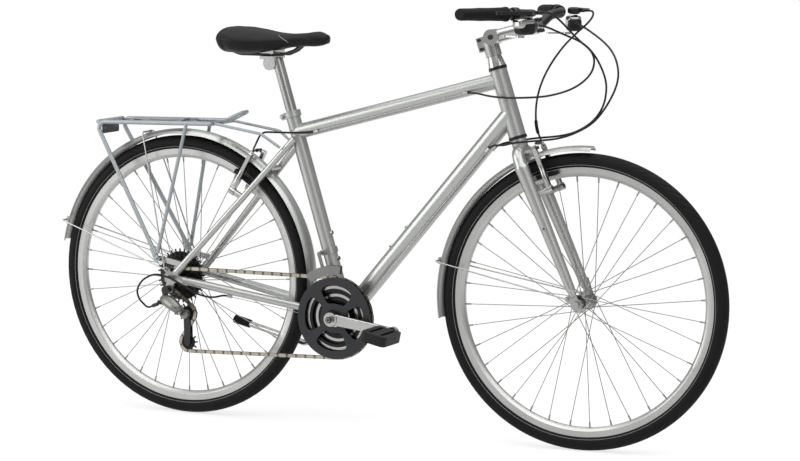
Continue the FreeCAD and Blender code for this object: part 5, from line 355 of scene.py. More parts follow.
FINISH_NODES: Tuple[Tuple[Finish, str], ...] = (
    (SILVER_PAINT, "main_frame rear_triangle seat_clamp fork rear_mudguard front_mudguard"),
    (POLISHED_ALLOY, "frame_fittings seat_post crank_arm_right crank_arm_left stem kickstand_leg"),
    (POLISHED_ALLOY, "front_hub rear_hub front_brake_arm_right front_brake_arm_left"),
    (POLISHED_ALLOY, "rear_brake_arm_right rear_brake_arm_left"),
    (BRIGHT_STEEL, "rear_axle front_axle crank_axle shift_lever_right shift_lever_left"),
    (BRIGHT_STEEL, "rear_mudguard_stays front_mudguard_stays front_derailleur_clamp"),
    (BLACK_ALLOY, "bearing_cups handlebar control_brackets brake_lever_right brake_lever_left"),
    (BLACK_ALLOY, "kickstand_bracket"),
    (BLACK_RESIN, "saddle_base pedal_right pedal_left guide_pulley tension_pulley"),
    (DARK_STEEL, "saddle_rails cassette rack_light_plate rear_derailleur_knuckle rear_derailleur_cage"),
    (GREY_ALLOY, "rear_derailleur_link rear_derailleur_head front_derailleur_cage"),
    (CHAIN_STEEL, "chain"),
    (RING_STEEL, "chainrings"),
    (GUARD_RESIN, "chain_guard"),
    (GRIP_RUBBER, "grips kickstand_foot"),
    (RACK_ALLOY, "luggage_rack"),
    (CABLE_SHEATH, "frame_cables"),
    (MACHINED_RIM, "front_rim rear_rim"),
    (SPOKE_STEEL, "front_spokes rear_spokes"),
)


class Shaper:
    """Turns grids of points into mesh objects."""

    @staticmethod
    def surface(name: str, points: Array, wrap_rows: bool, wrap_columns: bool) -> Object:
        """Make an object from a grid of points, one quad between four neighbours.

        Args:
            name: Name of the object.
            points: Array of rows by columns by 3.
            wrap_rows: Whether the last row joins the first.
            wrap_columns: Whether the last column joins the first.

        Returns:
            The new object, shaded smooth.
        """
        rows, columns = points.shape[:2]
        row = np.arange(rows if wrap_rows else rows - 1)
        column = np.arange(columns if wrap_columns else columns - 1)
        a, b = np.meshgrid(row, column, indexing="ij")
        c, d = (a + 1) % rows, (b + 1) % columns
        corners = (a * columns + b, a * columns + d, c * columns + d, c * columns + b)
        quads = np.stack(corners, axis=-1).reshape(-1, 4)
        return Shaper.mesh(name, points.reshape(-1, 3), quads)

    @staticmethod
    def mesh(name: str, vertices: Array, faces: Array) -> Object:
        """Make an object from vertices and faces of one size, and turn its faces outwards.

        Args:
            name: Name of the object.
            vertices: Array of points.
            faces: Array of vertex numbers.

        Returns:
            The new object, shaded smooth.
        """
        data = bpy.data.meshes.new(name)
        data.from_pydata(vertices.tolist(), [], faces.tolist())
        shape = bmesh.new()
        shape.from_mesh(data)
        bmesh.ops.remove_doubles(shape, verts=shape.verts, dist=MERGE_DISTANCE)
        bmesh.ops.dissolve_degenerate(shape, edges=shape.edges, dist=MERGE_DISTANCE)
        bmesh.ops.recalc_face_normals(shape, faces=shape.faces)
        shape.to_mesh(data)
        shape.free()
        made = bpy.data.objects.new(name, data)
        bpy.context.scene.collection.objects.link(made)
        data.polygons.foreach_set("use_smooth", np.ones(len(data.polygons), dtype=bool))
        return made

    @staticmethod
    def closed_ends(points: Array, first: Array, last: Array) -> Array:
        """Close a grid of sections with a point at each end.

        Args:
            points: Array of sections by points by 3.
            first: Point that closes the first section.
            last: Point that closes the last section.

        Returns:
            The grid with two more rows.
        """
        shape = (1, points.shape[1], 3)
        return np.concatenate((np.broadcast_to(first, shape), points, np.broadcast_to(last, shape)))


def unit(vector: Array) -> Array:
    """Give the direction of a vector."""
    return np.asarray(vector, float) / np.linalg.norm(vector)


def turns(count: int) -> Array:
    """Give equal steps round a full turn."""
    return np.linspace(0.0, 2.0 * math.pi, count, endpoint=False)


def headings(path: Array) -> Array:
    """Give the direction of a path at each point.

    Args:
        path: Points of the path, of which some may fall together.

    Returns:
        Unit vectors; a point without a direction takes its neighbour's.
    """
    ahead = np.gradient(path, axis=0)
    size = np.linalg.norm(ahead, axis=1)
    sound = np.flatnonzero(size > NO_LENGTH)
    nearest = sound[np.abs(np.arange(len(path))[:, None] - sound[None, :]).argmin(axis=1)]
    return ahead[nearest] / size[nearest, None]


def signed_power(value: Array, power: Union[float, Array]) -> Array:
    """Raise the size of each value to a power and keep its sign."""
    return np.sign(value) * np.abs(value) ** power


def ramp(value: Array) -> Array:
    """Cut values off below 0 and above 1."""
    return np.clip(value, 0.0, 1.0)


def rounding(reach: Array, power: float, least: float) -> Array:
    """Give the share of a section that is left towards the end of a path.

    Args:
        reach: 0 where the section is whole and 1 or -1 at an end.
        power: 2 gives a round end and a large power a blunt one.
        least: Square of the smallest share.

    Returns:
        The share at each point.
    """
    return np.sqrt(np.clip(1.0 - np.abs(reach) ** power, least, 1.0))


def pod(name: str, centre: Array, axes: Axes, half: Point, power: float,
        rows: int = 28, columns: int = 40) -> Object:
    """Make a rounded box, a sphere whose sines and cosines are raised to a power below one.

    Args:
        name: Name of the object.
        centre: Middle of the box in millimetres.
        axes: Its three directions.
        half: Half its size along each direction in millimetres.
        power: 1 gives an ellipsoid and a small power a box.
        rows: Grid rows from pole to pole.
        columns: Grid columns round the box.

    Returns:
        The rounded box.
    """
    tilt = np.linspace(-math.pi / 2, math.pi / 2, rows)[:, None]
    turn = turns(columns)[None, :]
    ring = signed_power(np.cos(tilt), power)
    u = half[0] * ring * signed_power(np.cos(turn), power)
    v = half[1] * ring * signed_power(np.sin(turn), power)
    w = half[2] * signed_power(np.sin(tilt), power) + 0.0 * turn
    points = centre + u[..., None] * axes[0] + v[..., None] * axes[1] + w[..., None] * axes[2]
    return Shaper.surface(name, points * MM, False, True)


def sweep(name: str, path: Array, wide: Array, tall: Array, up: Array, power: float = 0.7,
          columns: int = 24) -> Object:
    """Carry a rounded section along a path and close its ends.

    Args:
        name: Name of the object.
        path: Points of the middle line.
        wide: Half width of the section at each point, across the path.
        tall: Half height at each point, along up.
        up: Direction of the height.
        power: 1 gives an ellipse and a small power a rectangle.
        columns: Points round the section.

    Returns:
        The swept shape.
    """
    ahead = headings(path)
    across = np.cross(ahead, up)
    across /= np.linalg.norm(across, axis=1, keepdims=True)
    above = np.cross(across, ahead)
    turn = turns(columns)
    side, rise = signed_power(np.cos(turn), power), signed_power(np.sin(turn), power)
    points = (path[:, None, :] + (wide[:, None] * side[None, :])[..., None] * across[:, None, :]
              + (tall[:, None] * rise[None, :])[..., None] * above[:, None, :])
    return Shaper.surface(name, Shaper.closed_ends(points, path[0], path[-1]), False, True)


def tube(name: str, path: Array, radii: Array, sides: int = 14) -> Object:
    """Carry a circle along a path and close its ends.

    Args:
        name: Name of the object.
        path: Points of the middle line.
        radii: Radius at each point.
        sides: Points round the circle.

    Returns:
        The new tube.
    """
    # A negative height lets the points run the other way round the circle.
    return sweep(name, path, radii, -radii, TUBE_UP, 1.0, sides)


def hoop(name: str, centre: Array, axes: Axes, reach: Array, rise: Array,
         count: int) -> Object:
    """Turn a closed section round an axis.

    Args:
        name: Name of the object.
        centre: A point on the axis.
        axes: Two directions across the axis, and the axis.
        reach: Distance of each point of the section from the axis.
        rise: Distance of each point along the axis.
        count: Steps round the axis.

    Returns:
        The ring.
    """
    turn = turns(count)[:, None]
    spoke = (np.cos(turn) * axes[0] + np.sin(turn) * axes[1])[:, None, :]
    points = centre + reach[None, :, None] * spoke + rise[None, :, None] * axes[2]
    return Shaper.surface(name, points, True, True)


def add_spline(curve: Curve, kind: str, points: Array) -> Spline:
    """Add a spline to a curve.

    Args:
        curve: The curve.
        kind: Blender's name for the spline type.
        points: Control points of the spline.

    Returns:
        The new spline.
    """
    spline = curve.splines.new(kind)
    spline.points.add(len(points) - 1)
    spline.points.foreach_set("co", np.column_stack((points, np.ones(len(points)))).ravel())
    return spline


def mesh_of(curve: Curve) -> Mesh:
    """Turn a curve into a mesh and take the curve away.

    Args:
        curve: The curve.

    Returns:
        The new mesh.
    """
    holder = bpy.data.objects.new(curve.name, curve)
    bpy.context.scene.collection.objects.link(holder)
    bpy.context.view_layer.update()
    mesh = bpy.data.meshes.new_from_object(holder.evaluated_get(bpy.context.evaluated_depsgraph_get()))
    bpy.data.objects.remove(holder)
    bpy.data.curves.remove(curve)
    return mesh


def bent_line(points: Sequence[Point], count: int = 40) -> Array:
    """Run a smooth line through points given in millimetres.

    Args:
        points: The points.
        count: How many points to give.

    Returns:
        Points of the line in metres.
    """
    table = np.array(points, float) * MM
    shares = np.concatenate(((0.0,), np.cumsum(np.linalg.norm(np.diff(table, axis=0), axis=1))))
    return smooth_steps(table, shares / shares[-1], count)


def islands(node: Object) -> Tuple[Array, Array, Array]:
    """Find the separate solids in a node's mesh by joining triangles that share a corner.

    Args:
        node: Object of the node.

    Returns:
        The island number of each face, and the lowest and highest corner of each island.
    """
    mesh = node.data
    corner = np.zeros(len(mesh.vertices) * 3)
    mesh.vertices.foreach_get("co", corner)
    corner = corner.reshape(-1, 3)
    _, merged = np.unique(np.round(corner * CORNER_STEPS).astype(np.int64), axis=0, return_inverse=True)
    merged = merged.ravel()
    loops = np.zeros(len(mesh.loops), dtype=np.int64)
    mesh.loops.foreach_get("vertex_index", loops)
    faces = merged[loops].reshape(-1, 3)
    label = np.arange(merged.max() + 1)
    while True:
        lowest = label[faces].min(axis=1)
        after = label.copy()
        np.minimum.at(after, faces.ravel(), np.repeat(lowest, 3))
        after = after[after]
        if np.array_equal(after, label):
            break
        label = after
    _, number = np.unique(label[faces[:, 0]], return_inverse=True)
    number = number.ravel()
    count = number.max() + 1
    low, high = np.full((count, 3), FAR), np.full((count, 3), -FAR)
    triangle = corner[loops].reshape(-1, 3, 3)
    np.minimum.at(low, number, triangle.min(axis=1))
    np.maximum.at(high, number, triangle.max(axis=1))
    return number, low, high


def smooth_steps(values: Array, shares: Array, count: int) -> Array:
    """Run a smooth curve through a table with cubic pieces whose slopes are the mean of their neighbours'.

    Args:
        values: Table of rows by columns.
        shares: Where each row lies, rising.
        count: How many rows to give.

    Returns:
        The table read at equal steps.
    """
    at = np.linspace(shares[0], shares[-1], count)
    slope = np.gradient(values, shares, axis=0)
    piece = np.clip(np.searchsorted(shares, at, side="right") - 1, 0, len(shares) - 2)
    width = (shares[piece + 1] - shares[piece])[:, None]
    t = (at - shares[piece])[:, None] / width
    start, end = values[piece], values[piece + 1]
    return ((2 * t**3 - 3 * t**2 + 1) * start + (t**3 - 2 * t**2 + t) * width * slope[piece]
            + (3 * t**2 - 2 * t**3) * end + (t**3 - t**2) * width * slope[piece + 1])


def keep(piece: Object, body: str, material: Material,
         stands_for: Sequence[str] = ()) -> Object:
    """Dress a new piece and hang it on its body.

    Args:
        piece: The new piece.
        body: Name of the body that carries it.
        material: Material of the piece.
        stands_for: Nodes of the model that the piece replaces.

    Returns:
        The piece.
    """
    piece.data.materials.append(material)
    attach(piece, body)
    if stands_for:
        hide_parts(*stands_for)
    LOG.info("%s rides on %s", piece.name, body)
    return piece


@dataclass
class Saddle:
    """The padded saddle cover, lofted over the moulded base."""

    length: float = 285 * MM
    width: float = 176 * MM
    depth: float = 69 * MM
    tail: float = -418 * MM
    height: float = 897 * MM
    rows: int = 96
    columns: int = 72
    end_cap: float = 2.0 * MM
    side_powers: Tuple[float, float] = (0.85, 0.55)
    rise_powers: Tuple[float, float] = (1.0, 0.7)
    tuck: float = 0.2
    valley_depth: float = 0.035
    valley_width: float = 0.22
    piping: float = 0.8 * MM
    piping_span: Tuple[float, float] = (0.585, 0.685)
    piping_steps: int = 24
    sections: Tuple[Tuple[float, float, float, float, float], ...] = (
        (0.000, 0.17, 0.41, 0.59, 0.74),
        (0.045, 0.38, 0.19, 0.59, 0.94),
        (0.150, 0.49, 0.09, 0.57, 1.00),
        (0.320, 0.50, 0.07, 0.51, 0.94),
        (0.480, 0.38, 0.16, 0.51, 0.84),
        (0.640, 0.235, 0.30, 0.55, 0.80),
        (0.800, 0.165, 0.36, 0.59, 0.84),
        (0.930, 0.135, 0.39, 0.62, 0.88),
        (1.000, 0.070, 0.48, 0.62, 0.77),
    )

    def skin(self, rows: Array, angle: Array) -> Array:
        """Give points of the skin.

        Args:
            rows: Sections of the loft, one in each row.
            angle: Angles round the sections.

        Returns:
            A grid of points, rows by angles.
        """
        share, half, low, line, crown = (rows[:, i, None] for i in range(5))
        side = np.cos(angle)
        rise = np.sin(angle)
        top = rise >= 0.0
        round_side = signed_power(side, np.where(top, *self.side_powers))
        round_rise = signed_power(rise, np.where(top, *self.rise_powers))
        level = np.where(top, line + (crown - line) * round_rise, line + (line - low) * round_rise)
        pull = np.where(top, 1.0, 1.0 - self.tuck * np.abs(round_rise))
        valley = np.exp(-((side / self.valley_width) ** 2)) * ramp(rise)
        dip = self.valley_depth * valley * np.sin(math.pi * ramp(share))
        x = np.broadcast_to(self.tail + share * self.length, level.shape)
        y = half * self.width * round_side * pull
        z = self.height + (level - dip) * self.depth
        return np.stack((x, y, z), axis=-1)

    def loft(self) -> Array:
        """Give the sections at equal steps from tail to nose."""
        table = np.array(self.sections)
        return smooth_steps(table, table[:, 0], self.rows)

    def cover(self) -> Object:
        """Loft the cover: each section runs round the crown, down the skirt and back under the floor.

        Returns:
            The cover piece.
        """
        angle = turns(self.columns)[None, :]
        points = self.skin(self.loft(), angle)
        beyond = np.array((self.end_cap, 0.0, 0.0))
        tail, nose = points[0].mean(axis=0) - beyond, points[-1].mean(axis=0) + beyond
        return Shaper.surface("saddle_skin", Shaper.closed_ends(points, tail, nose), False, True)

    def build(self, box: Paintbox) -> None:
        """Make and dress the saddle's pieces."""
        cover = keep(self.cover(), "seat", box.material(SADDLE_VINYL), ("saddle_cover",))
        rows = self.loft()
        at = np.linspace(*self.piping_span, self.piping_steps)
        step = np.linspace(0.0, 1.0, len(rows))
        here = np.column_stack([np.interp(at, step, column) for column in rows.T])
        radii = np.full(len(at), self.piping)
        for name, start, end in (("right", 125.0, 188.0), ("left", 55.0, -8.0)):
            angle = np.radians(np.linspace(start, end, len(at)))[:, None]
            piping = tube(f"saddle_piping_{name}", self.skin(here, angle)[:, 0, :], radii, 8)
            keep(piping, "seat", box.material(TYRE_LINE))


@dataclass(frozen=True)
class CableRun:
    """One cable housing between two ends that the bicycle holds.

    Attributes:
        name: Name of the piece.
        points: Control points of its line in millimetres.
        far_body: Body that holds the far end.
    """

    name: str
    points: Tuple[Point, ...]
    far_body: str


CABLE_RUNS = (
    CableRun("front_brake_housing", (
        (470.233, 162.658, 1013.738), (482.657, 152.58, 1014.023), (494, 143, 1013), (498, 133, 1002),
        (487, 125, 985), (462, 119, 963), (432, 112, 932), (405, 102, 892), (388, 84, 848), (384, 62, 800),
        (395.79, 36.18, 746.03), (402.374, 36.331, 731.496)), "steering"),
    CableRun("rear_brake_housing", (
        (494.374, -127.474, 1021.582), (504.961, -115.482, 1021.271), (555, -85, 958), (581, -75, 937),
        (588, -68, 912), (576, -62, 880), (536, -55, 849), (484, -50, 831), (432, -45, 822),
        (327, -36, 817), (256.3, -19.248, 828.15), (240.83, -19.248, 824.087)), "frame"),
    CableRun("rear_shift_housing", (
        (473.009, -120.433, 991.357), (479.703, -105.905, 990.973), (503, -60, 971), (532, 0, 948),
        (547, 40, 912), (561, 55, 870), (565, 58, 840), (559, 56, 800), (536, 53, 765), (499, 50, 740),
        (458, 47, 727), (393, 43, 720), (369, 40, 716), (307.8, 18.802, 705.65),
        (297.35, 18.802, 693.566)), "frame"),
    CableRun("front_shift_housing", (
        (450.459, 150.574, 984.031), (459.462, 137.352, 984.397), (541, 85, 951), (583, 55, 923),
        (604, 35, 886), (606, 20, 850), (588, 5, 805), (562, -10, 766), (522, -20, 742), (483, -28, 728),
        (435, -34, 722), (371, -38, 715), (346, -38, 707), (307.8, -18.802, 705.65),
        (297.35, -18.802, 693.566)), "frame"),
)


@dataclass
class Cables:
    """The four housings in front of the handlebar."""

    diameter: float = 4.8 * MM
    smooth: int = 10
    boot_length: float = 34 * MM
    boot_steps: int = 24
    boot_mouth: Tuple[float, ...] = (2.6, 3.2, 3.7)
    boot_radius: float = 3.9
    boot_foot: Tuple[float, ...] = (3.6, 3.0)

    def line(self, run: CableRun) -> Array:
        """Read the middle line of a housing from its NURBS spline.

        Args:
            run: The housing.

        Returns:
            The points of its line.
        """
        curve = bpy.data.curves.new(run.name + "_line", "CURVE")
        curve.dimensions = "3D"
        spline = add_spline(curve, "NURBS", np.array(run.points) * MM)
        spline.order_u = 3
        spline.use_endpoint_u = True
        spline.resolution_u = self.smooth
        mesh = mesh_of(curve)
        points = np.zeros(len(mesh.vertices) * 3)
        mesh.vertices.foreach_get("co", points)
        bpy.data.meshes.remove(mesh)
        return points.reshape(-1, 3)

    def build(self, box: Paintbox) -> None:
        """Make the housings: those that end on the frame keep their place, and those that end on the
        steering ride on it with a boot at their lower end.
        """
        for run in CABLE_RUNS:
            line = self.line(run)
            piece = tube(run.name, line, np.full(len(line), self.diameter / 2))
            piece.data.materials.append(box.material(CABLE_SHEATH))
            if run.far_body == "frame":
                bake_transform(piece)
            else:
                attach(piece, "steering")
            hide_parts("handlebar_cables")
            if run.far_body == "steering":
                self.boot(line, box)

    def boot(self, line: Array, box: Paintbox) -> None:
        """Slip a rubber boot over the lower end of a housing.

        Args:
            line: Middle line of the housing.
            box: The paintbox.
        """
        gone = np.concatenate(((0.0,), np.cumsum(np.linalg.norm(np.diff(line, axis=0), axis=1))))
        at = np.linspace(gone[-1] - self.boot_length, gone[-1], self.boot_steps)
        path = np.column_stack([np.interp(at, gone, column) for column in line.T])
        middle = (self.boot_radius,) * (self.boot_steps - len(self.boot_mouth) - len(self.boot_foot))
        radii = np.array(self.boot_mouth + middle + self.boot_foot) * MM
        keep(tube("brake_boot", path, radii), "steering", box.material(GRIP_RUBBER))


@dataclass
class Tyre:
    """One tyre with a slick crown, slanted shoulder grooves and a grey line on each wall."""

    name: str
    body: str
    axle: Array
    axis: Array
    outer: float = 347 * MM
    section: float = 18.5 * MM
    wall: float = 2.4 * MM
    bead: float = math.radians(143.0)
    blocks: int = 84
    across: int = 40
    steps: int = 12
    groove_depth: float = 1.3 * MM
    groove_slant: float = 1.5
    groove_half: float = 0.16
    groove_edge: float = 0.06
    shoulder: Tuple[float, float] = (0.42, 1.22)
    shoulder_edge: float = 0.08
    rib_height: float = 0.35 * MM
    rib_angle: float = 1.75
    rib_width: float = 0.05
    line_angle: float = 2.05
    line_radius: float = 0.55 * MM

    def build(self, box: Paintbox) -> None:
        """Turn the tyre's section round the axle and press the grooves into its shoulders."""
        turn = turns(self.blocks * self.steps)[:, None]
        angle = np.linspace(-self.bead, self.bead, self.across)[None, :]
        away = np.abs(angle)
        phase = np.mod(turn * self.blocks / (2.0 * math.pi) + self.groove_slant * away, 1.0)
        groove = ramp((self.groove_half - np.abs(phase - 0.5)) / self.groove_edge)
        near, far = self.shoulder
        rising = ramp((away - near) / self.shoulder_edge)
        falling = ramp((far - away) / self.shoulder_edge)
        rib = self.rib_height * np.exp(-(((away - self.rib_angle) / self.rib_width) ** 2))
        radius = self.section - self.groove_depth * groove * rising * falling + rib
        core = self.outer - self.section
        reach = core + radius * np.cos(angle)
        side = radius * np.sin(angle)
        first = unit(np.cross(self.axis, np.array((0.0, 0.0, 1.0))))
        second = np.cross(self.axis, first)
        spoke = np.cos(turn)[..., None] * first + np.sin(turn)[..., None] * second
        points = self.axle + reach[..., None] * spoke + side[..., None] * self.axis
        piece = Shaper.surface(self.name + "_tread", points, True, False)
        keep(piece, self.body, box.material(TYRE_RUBBER), (self.name,))
        wall = piece.modifiers.new("wall", "SOLIDIFY")
        wall.thickness = self.wall
        wall.offset = -1.0
        roll = turns(8)
        reach = core + self.section * math.cos(self.line_angle) + self.line_radius * np.cos(roll)
        rise = self.section * math.sin(self.line_angle) + self.line_radius * np.sin(roll)
        for mark, sign in (("outer", -1.0), ("inner", 1.0)):
            axes = (first, second, self.axis)
            ring = hoop(f"{self.name}_line_{mark}", self.axle, axes, reach, sign * rise, self.blocks)
            keep(ring, self.body, box.material(TYRE_LINE))


@dataclass(frozen=True)
class SolidRule:
    """A finish for those solids of a node that pass a test of their size in millimetres.

    Attributes:
        node: Name of the node.
        finish: Finish of the solids.
        test: Takes the sizes of all solids and gives a mask.
    """

    node: str
    finish: Finish
    test: Callable[[Array], Array]


def pad_like(size: Array) -> Array:
    """Pick brake pads, which are long but not tall."""
    return (size[:, 0] > PAD_SIZE) & (size[:, 2] < PAD_SIZE)


def small(size: Array) -> Array:
    """Pick bolts, pins and springs."""
    return size.max(axis=1) < SMALL_SIZE


PAD_SIZE = 45.0
SMALL_SIZE = 42.0
STEM_BOLT = 13.0
LINK_MARGIN = 0.2
WIRE_LENGTH = 260.0
WIRE_HEIGHT = 150.0
BRAKE_NODES = tuple(f"{end}_brake_arm_{side}" for end in ("front", "rear") for side in ("right", "left"))

SOLID_RULES: Tuple[SolidRule, ...] = (
    # The inner links take the painted shade of chain_shade.
    SolidRule("chain", CHAIN_SHADE, lambda size: size[:, 1] < np.median(size[:, 1]) + LINK_MARGIN),
    SolidRule("frame_cables", BRIGHT_STEEL,
              lambda size: (size[:, 0] > WIRE_LENGTH) | (size[:, 2] > WIRE_HEIGHT)),
    SolidRule("stem", DARK_STEEL, lambda size: size.max(axis=1) < STEM_BOLT),
    *(SolidRule(node, BLACK_RESIN, pad_like) for node in BRAKE_NODES),
    *(SolidRule(node, DARK_STEEL, small) for node in BRAKE_NODES),
)


class Dresser:
    """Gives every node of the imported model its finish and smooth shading."""

    def __init__(self, box: Paintbox) -> None:
        """Keep the paintbox."""
        self.box = box

    def dress(self) -> None:
        """Dress all nodes, and then the solids that differ from the rest of their node."""
        for finish, names in FINISH_NODES:
            for name in names.split():
                self.dress_node(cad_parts[name], self.box.material(finish))
        for rule in SOLID_RULES:
            self.dress_solids(rule)

    @staticmethod
    def dress_node(node: Object, material: Material) -> None:
        """Give a node one material, and shade it smooth up to its creases.

        Args:
            node: Object of the node.
            material: Material of all its faces.
        """
        node.data.materials.clear()
        node.data.materials.append(material)
        node.data.polygons.foreach_set("use_smooth", np.ones(len(node.data.polygons), dtype=bool))
        weld = node.modifiers.new("weld", "WELD")
        weld.merge_threshold = WELD_DISTANCE
        crease = node.modifiers.new("crease", "EDGE_SPLIT")
        crease.split_angle = CREASE_ANGLE

    def dress_solids(self, rule: SolidRule) -> None:
        """Give some solids of a node a finish of their own.

        Args:
            rule: Which solids, and their finish.
        """
        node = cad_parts[rule.node]
        number, low, high = islands(node)
        chosen = rule.test((high - low) / MM)
        node.data.materials.append(self.box.material(rule.finish))
        index = np.zeros(len(number), dtype=np.int32)
        node.data.polygons.foreach_get("material_index", index)
        index[chosen[number]] = len(node.data.materials) - 1
        node.data.polygons.foreach_set("material_index", index)


@dataclass(frozen=True)
class HandSide:
    """The places and directions of one end of the handlebar.

    Attributes:
        name: Side of the bicycle.
        end: End of the bar in millimetres.
        out: Direction along the bar to its end.
        ahead: Direction forward across the bar.
        clamp: Middle of the control's clamp.
        body: Middle of the shifter body.
        pivot: Pivot of the brake lever.
    """

    name: str
    end: Point
    out: Point
    ahead: Point
    clamp: Point
    body: Point
    pivot: Point

    def axes(self) -> Axes:
        """Give the directions out, ahead and up."""
        out, ahead = unit(np.array(self.out)), unit(np.array(self.ahead))
        up = np.cross(out, ahead)
        return out, ahead, up if up[2] > 0.0 else -up


HAND_SIDES = (
    HandSide("right", (357.756, -283.771, 1021.639), (-0.41838, -0.90795, 0.02399),
             (0.90827, -0.4182, 0.01228), (422.187, -143.946, 1017.943), (454.914, -159.702, 992.395),
             (474.29, -150.221, 1022.172)),
    HandSide("left", (309.68, 294.022, 1006.018), (-0.56269, 0.82635, -0.02289),
             (0.82667, 0.56251, -0.01423), (396.334, 166.763, 1009.543), (426.123, 186.313, 983.04),
             (446.666, 181.775, 1013.197)),
)


@dataclass
class Grips:
    """Hand grips with a palm wing that widens to the bar end."""

    length: float = 128.0
    cap: float = 6.0
    radius: float = 16.0
    wing: float = 8.0
    wing_start: float = 0.25
    wing_run: float = 0.55
    waist: float = 0.9
    waist_start: float = 0.1
    waist_run: float = 0.5
    flange: float = 1.2
    flange_width: float = 5.0
    mouth: float = -3.0
    rib: float = 0.35
    rib_rate: float = 0.9
    rib_span: Tuple[float, float] = (0.12, 0.62)

    def build(self, box: Paintbox) -> None:
        """Sweep one rounded section along each bar end, drawn out backwards where the palm rests."""
        inset = np.concatenate((np.array((self.length, self.length, self.length - 4.0, self.length - 6.0)),
                                np.linspace(self.length - 9.0, 2.0, 60),
                                -self.cap * np.sin(np.linspace(0.1, 0.5 * math.pi, 10))))
        share = ramp(1.0 - inset / self.length)
        swell = self.wing * ramp((share - self.wing_start) / self.wing_run) ** 1.5
        waist = self.waist * np.sin(math.pi * ramp((share - self.waist_start) / self.waist_run))
        closing = rounding(np.clip(-inset / self.cap, 0.0, 0.995), 2, 0.0)
        flange = np.where(inset > self.length - self.flange_width, self.flange, 0.0)
        flange[0] = self.mouth
        first, last = self.rib_span
        rib = self.rib * np.sin(inset * self.rib_rate) * ((share > first) & (share < last))
        for side in HAND_SIDES:
            out, ahead, up = side.axes()
            deep = (self.radius - waist + flange + rib + swell / 2) * (0.55 + 0.45 * closing)
            tall = (self.radius - 0.4 - waist + flange + rib - 0.22 * swell) * (0.5 + 0.5 * closing)
            path = (np.array(side.end) - inset[:, None] * out - (swell / 2)[:, None] * ahead) * MM
            piece = sweep(f"grip_{side.name}", path, deep * MM, tall * MM, up, 0.92, 36)
            keep(piece, "steering", box.material(GRIP_RUBBER), ("grips",))


@dataclass
class Controls:
    """The lever brackets and shifter bodies under the bar."""

    barrel_steps: Tuple[float, ...] = (0.0, 0.0, 0.3, 1.0, 3.0, 5.0, 8.0, 8.5)
    barrel_radii: Tuple[float, ...] = (0.5, 4.4, 4.6, 4.6, 4.2, 4.6, 4.6, 3.6, 3.4, 3.2, 2.5)
    band_radius: float = 13.4
    band_wall: float = 2.1
    band_width: float = 8.5

    def build(self, box: Paintbox) -> None:
        """Make each control from rounded boxes, a clamp band and two cable barrels."""
        for side in HAND_SIDES:
            out, ahead, up = axes = side.axes()
            body, clamp, pivot = (np.array(place) for place in (side.body, side.clamp, side.pivot))
            parts = (
                ("shifter_body", body - up * 4, (23, 17, 16), 0.5, BLACK_RESIN),
                ("shifter_face", body + up * 5 + out * 4, (24, 16.5, 12), 0.45, POLISHED_ALLOY),
                ("shifter_plate", body + up - ahead * 12 + out * 2, (15, 6, 10), 0.4, POLISHED_ALLOY),
                ("shifter_window", body + up * 17 + ahead * 3 - out * 6, (7, 4.5, 2), 0.6, BLACK_RESIN),
                ("shifter_screw", body + up * 16.5 + ahead * 2 + out * 15, (3, 3, 1.5), 0.8, DARK_STEEL),
                ("lever_bracket", pivot - ahead * 17 - up, (11, 15, 8.5), 0.6, BLACK_ALLOY),
            )
            for name, centre, half, power, finish in parts:
                self.hang(pod(f"{name}_{side.name}", centre, axes, half, power), box.material(finish))
            black = box.material(BLACK_ALLOY)
            self.hang(self.band(f"lever_clamp_{side.name}", clamp, axes), black)
            way = unit(-out + 0.3 * ahead)
            barrels = (
                ("brake_barrel", pivot + way * 6, way, 19.5),
                ("shift_barrel", body - out * 18, -out, 17.5),
            )
            for name, start, run, long in barrels:
                steps = np.array((*self.barrel_steps, long - 1.0, long - 0.5, long))
                path = (start + steps[:, None] * run) * MM
                self.hang(tube(f"{name}_{side.name}", path, np.array(self.barrel_radii) * MM, 20), black)

    @staticmethod
    def hang(piece: Object, material: Material) -> None:
        """Hang one piece of a control on the steering, in place of the plain brackets."""
        keep(piece, "steering", material, ("control_brackets",))

    def band(self, name: str, centre: Array, axes: Axes) -> Object:
        """Turn a rounded rectangle round the bar.

        Args:
            name: Name of the object.
            centre: Middle of the band in millimetres.
            axes: Directions along the bar, ahead and up.

        Returns:
            The clamp band.
        """
        out, ahead, up = axes
        roll = turns(20)
        reach = (self.band_radius + self.band_wall * signed_power(np.cos(roll), 0.5)) * MM
        rise = self.band_width * signed_power(np.sin(roll), 0.5) * MM
        return hoop(name, centre * MM, (ahead, up, out), reach, rise, 48)


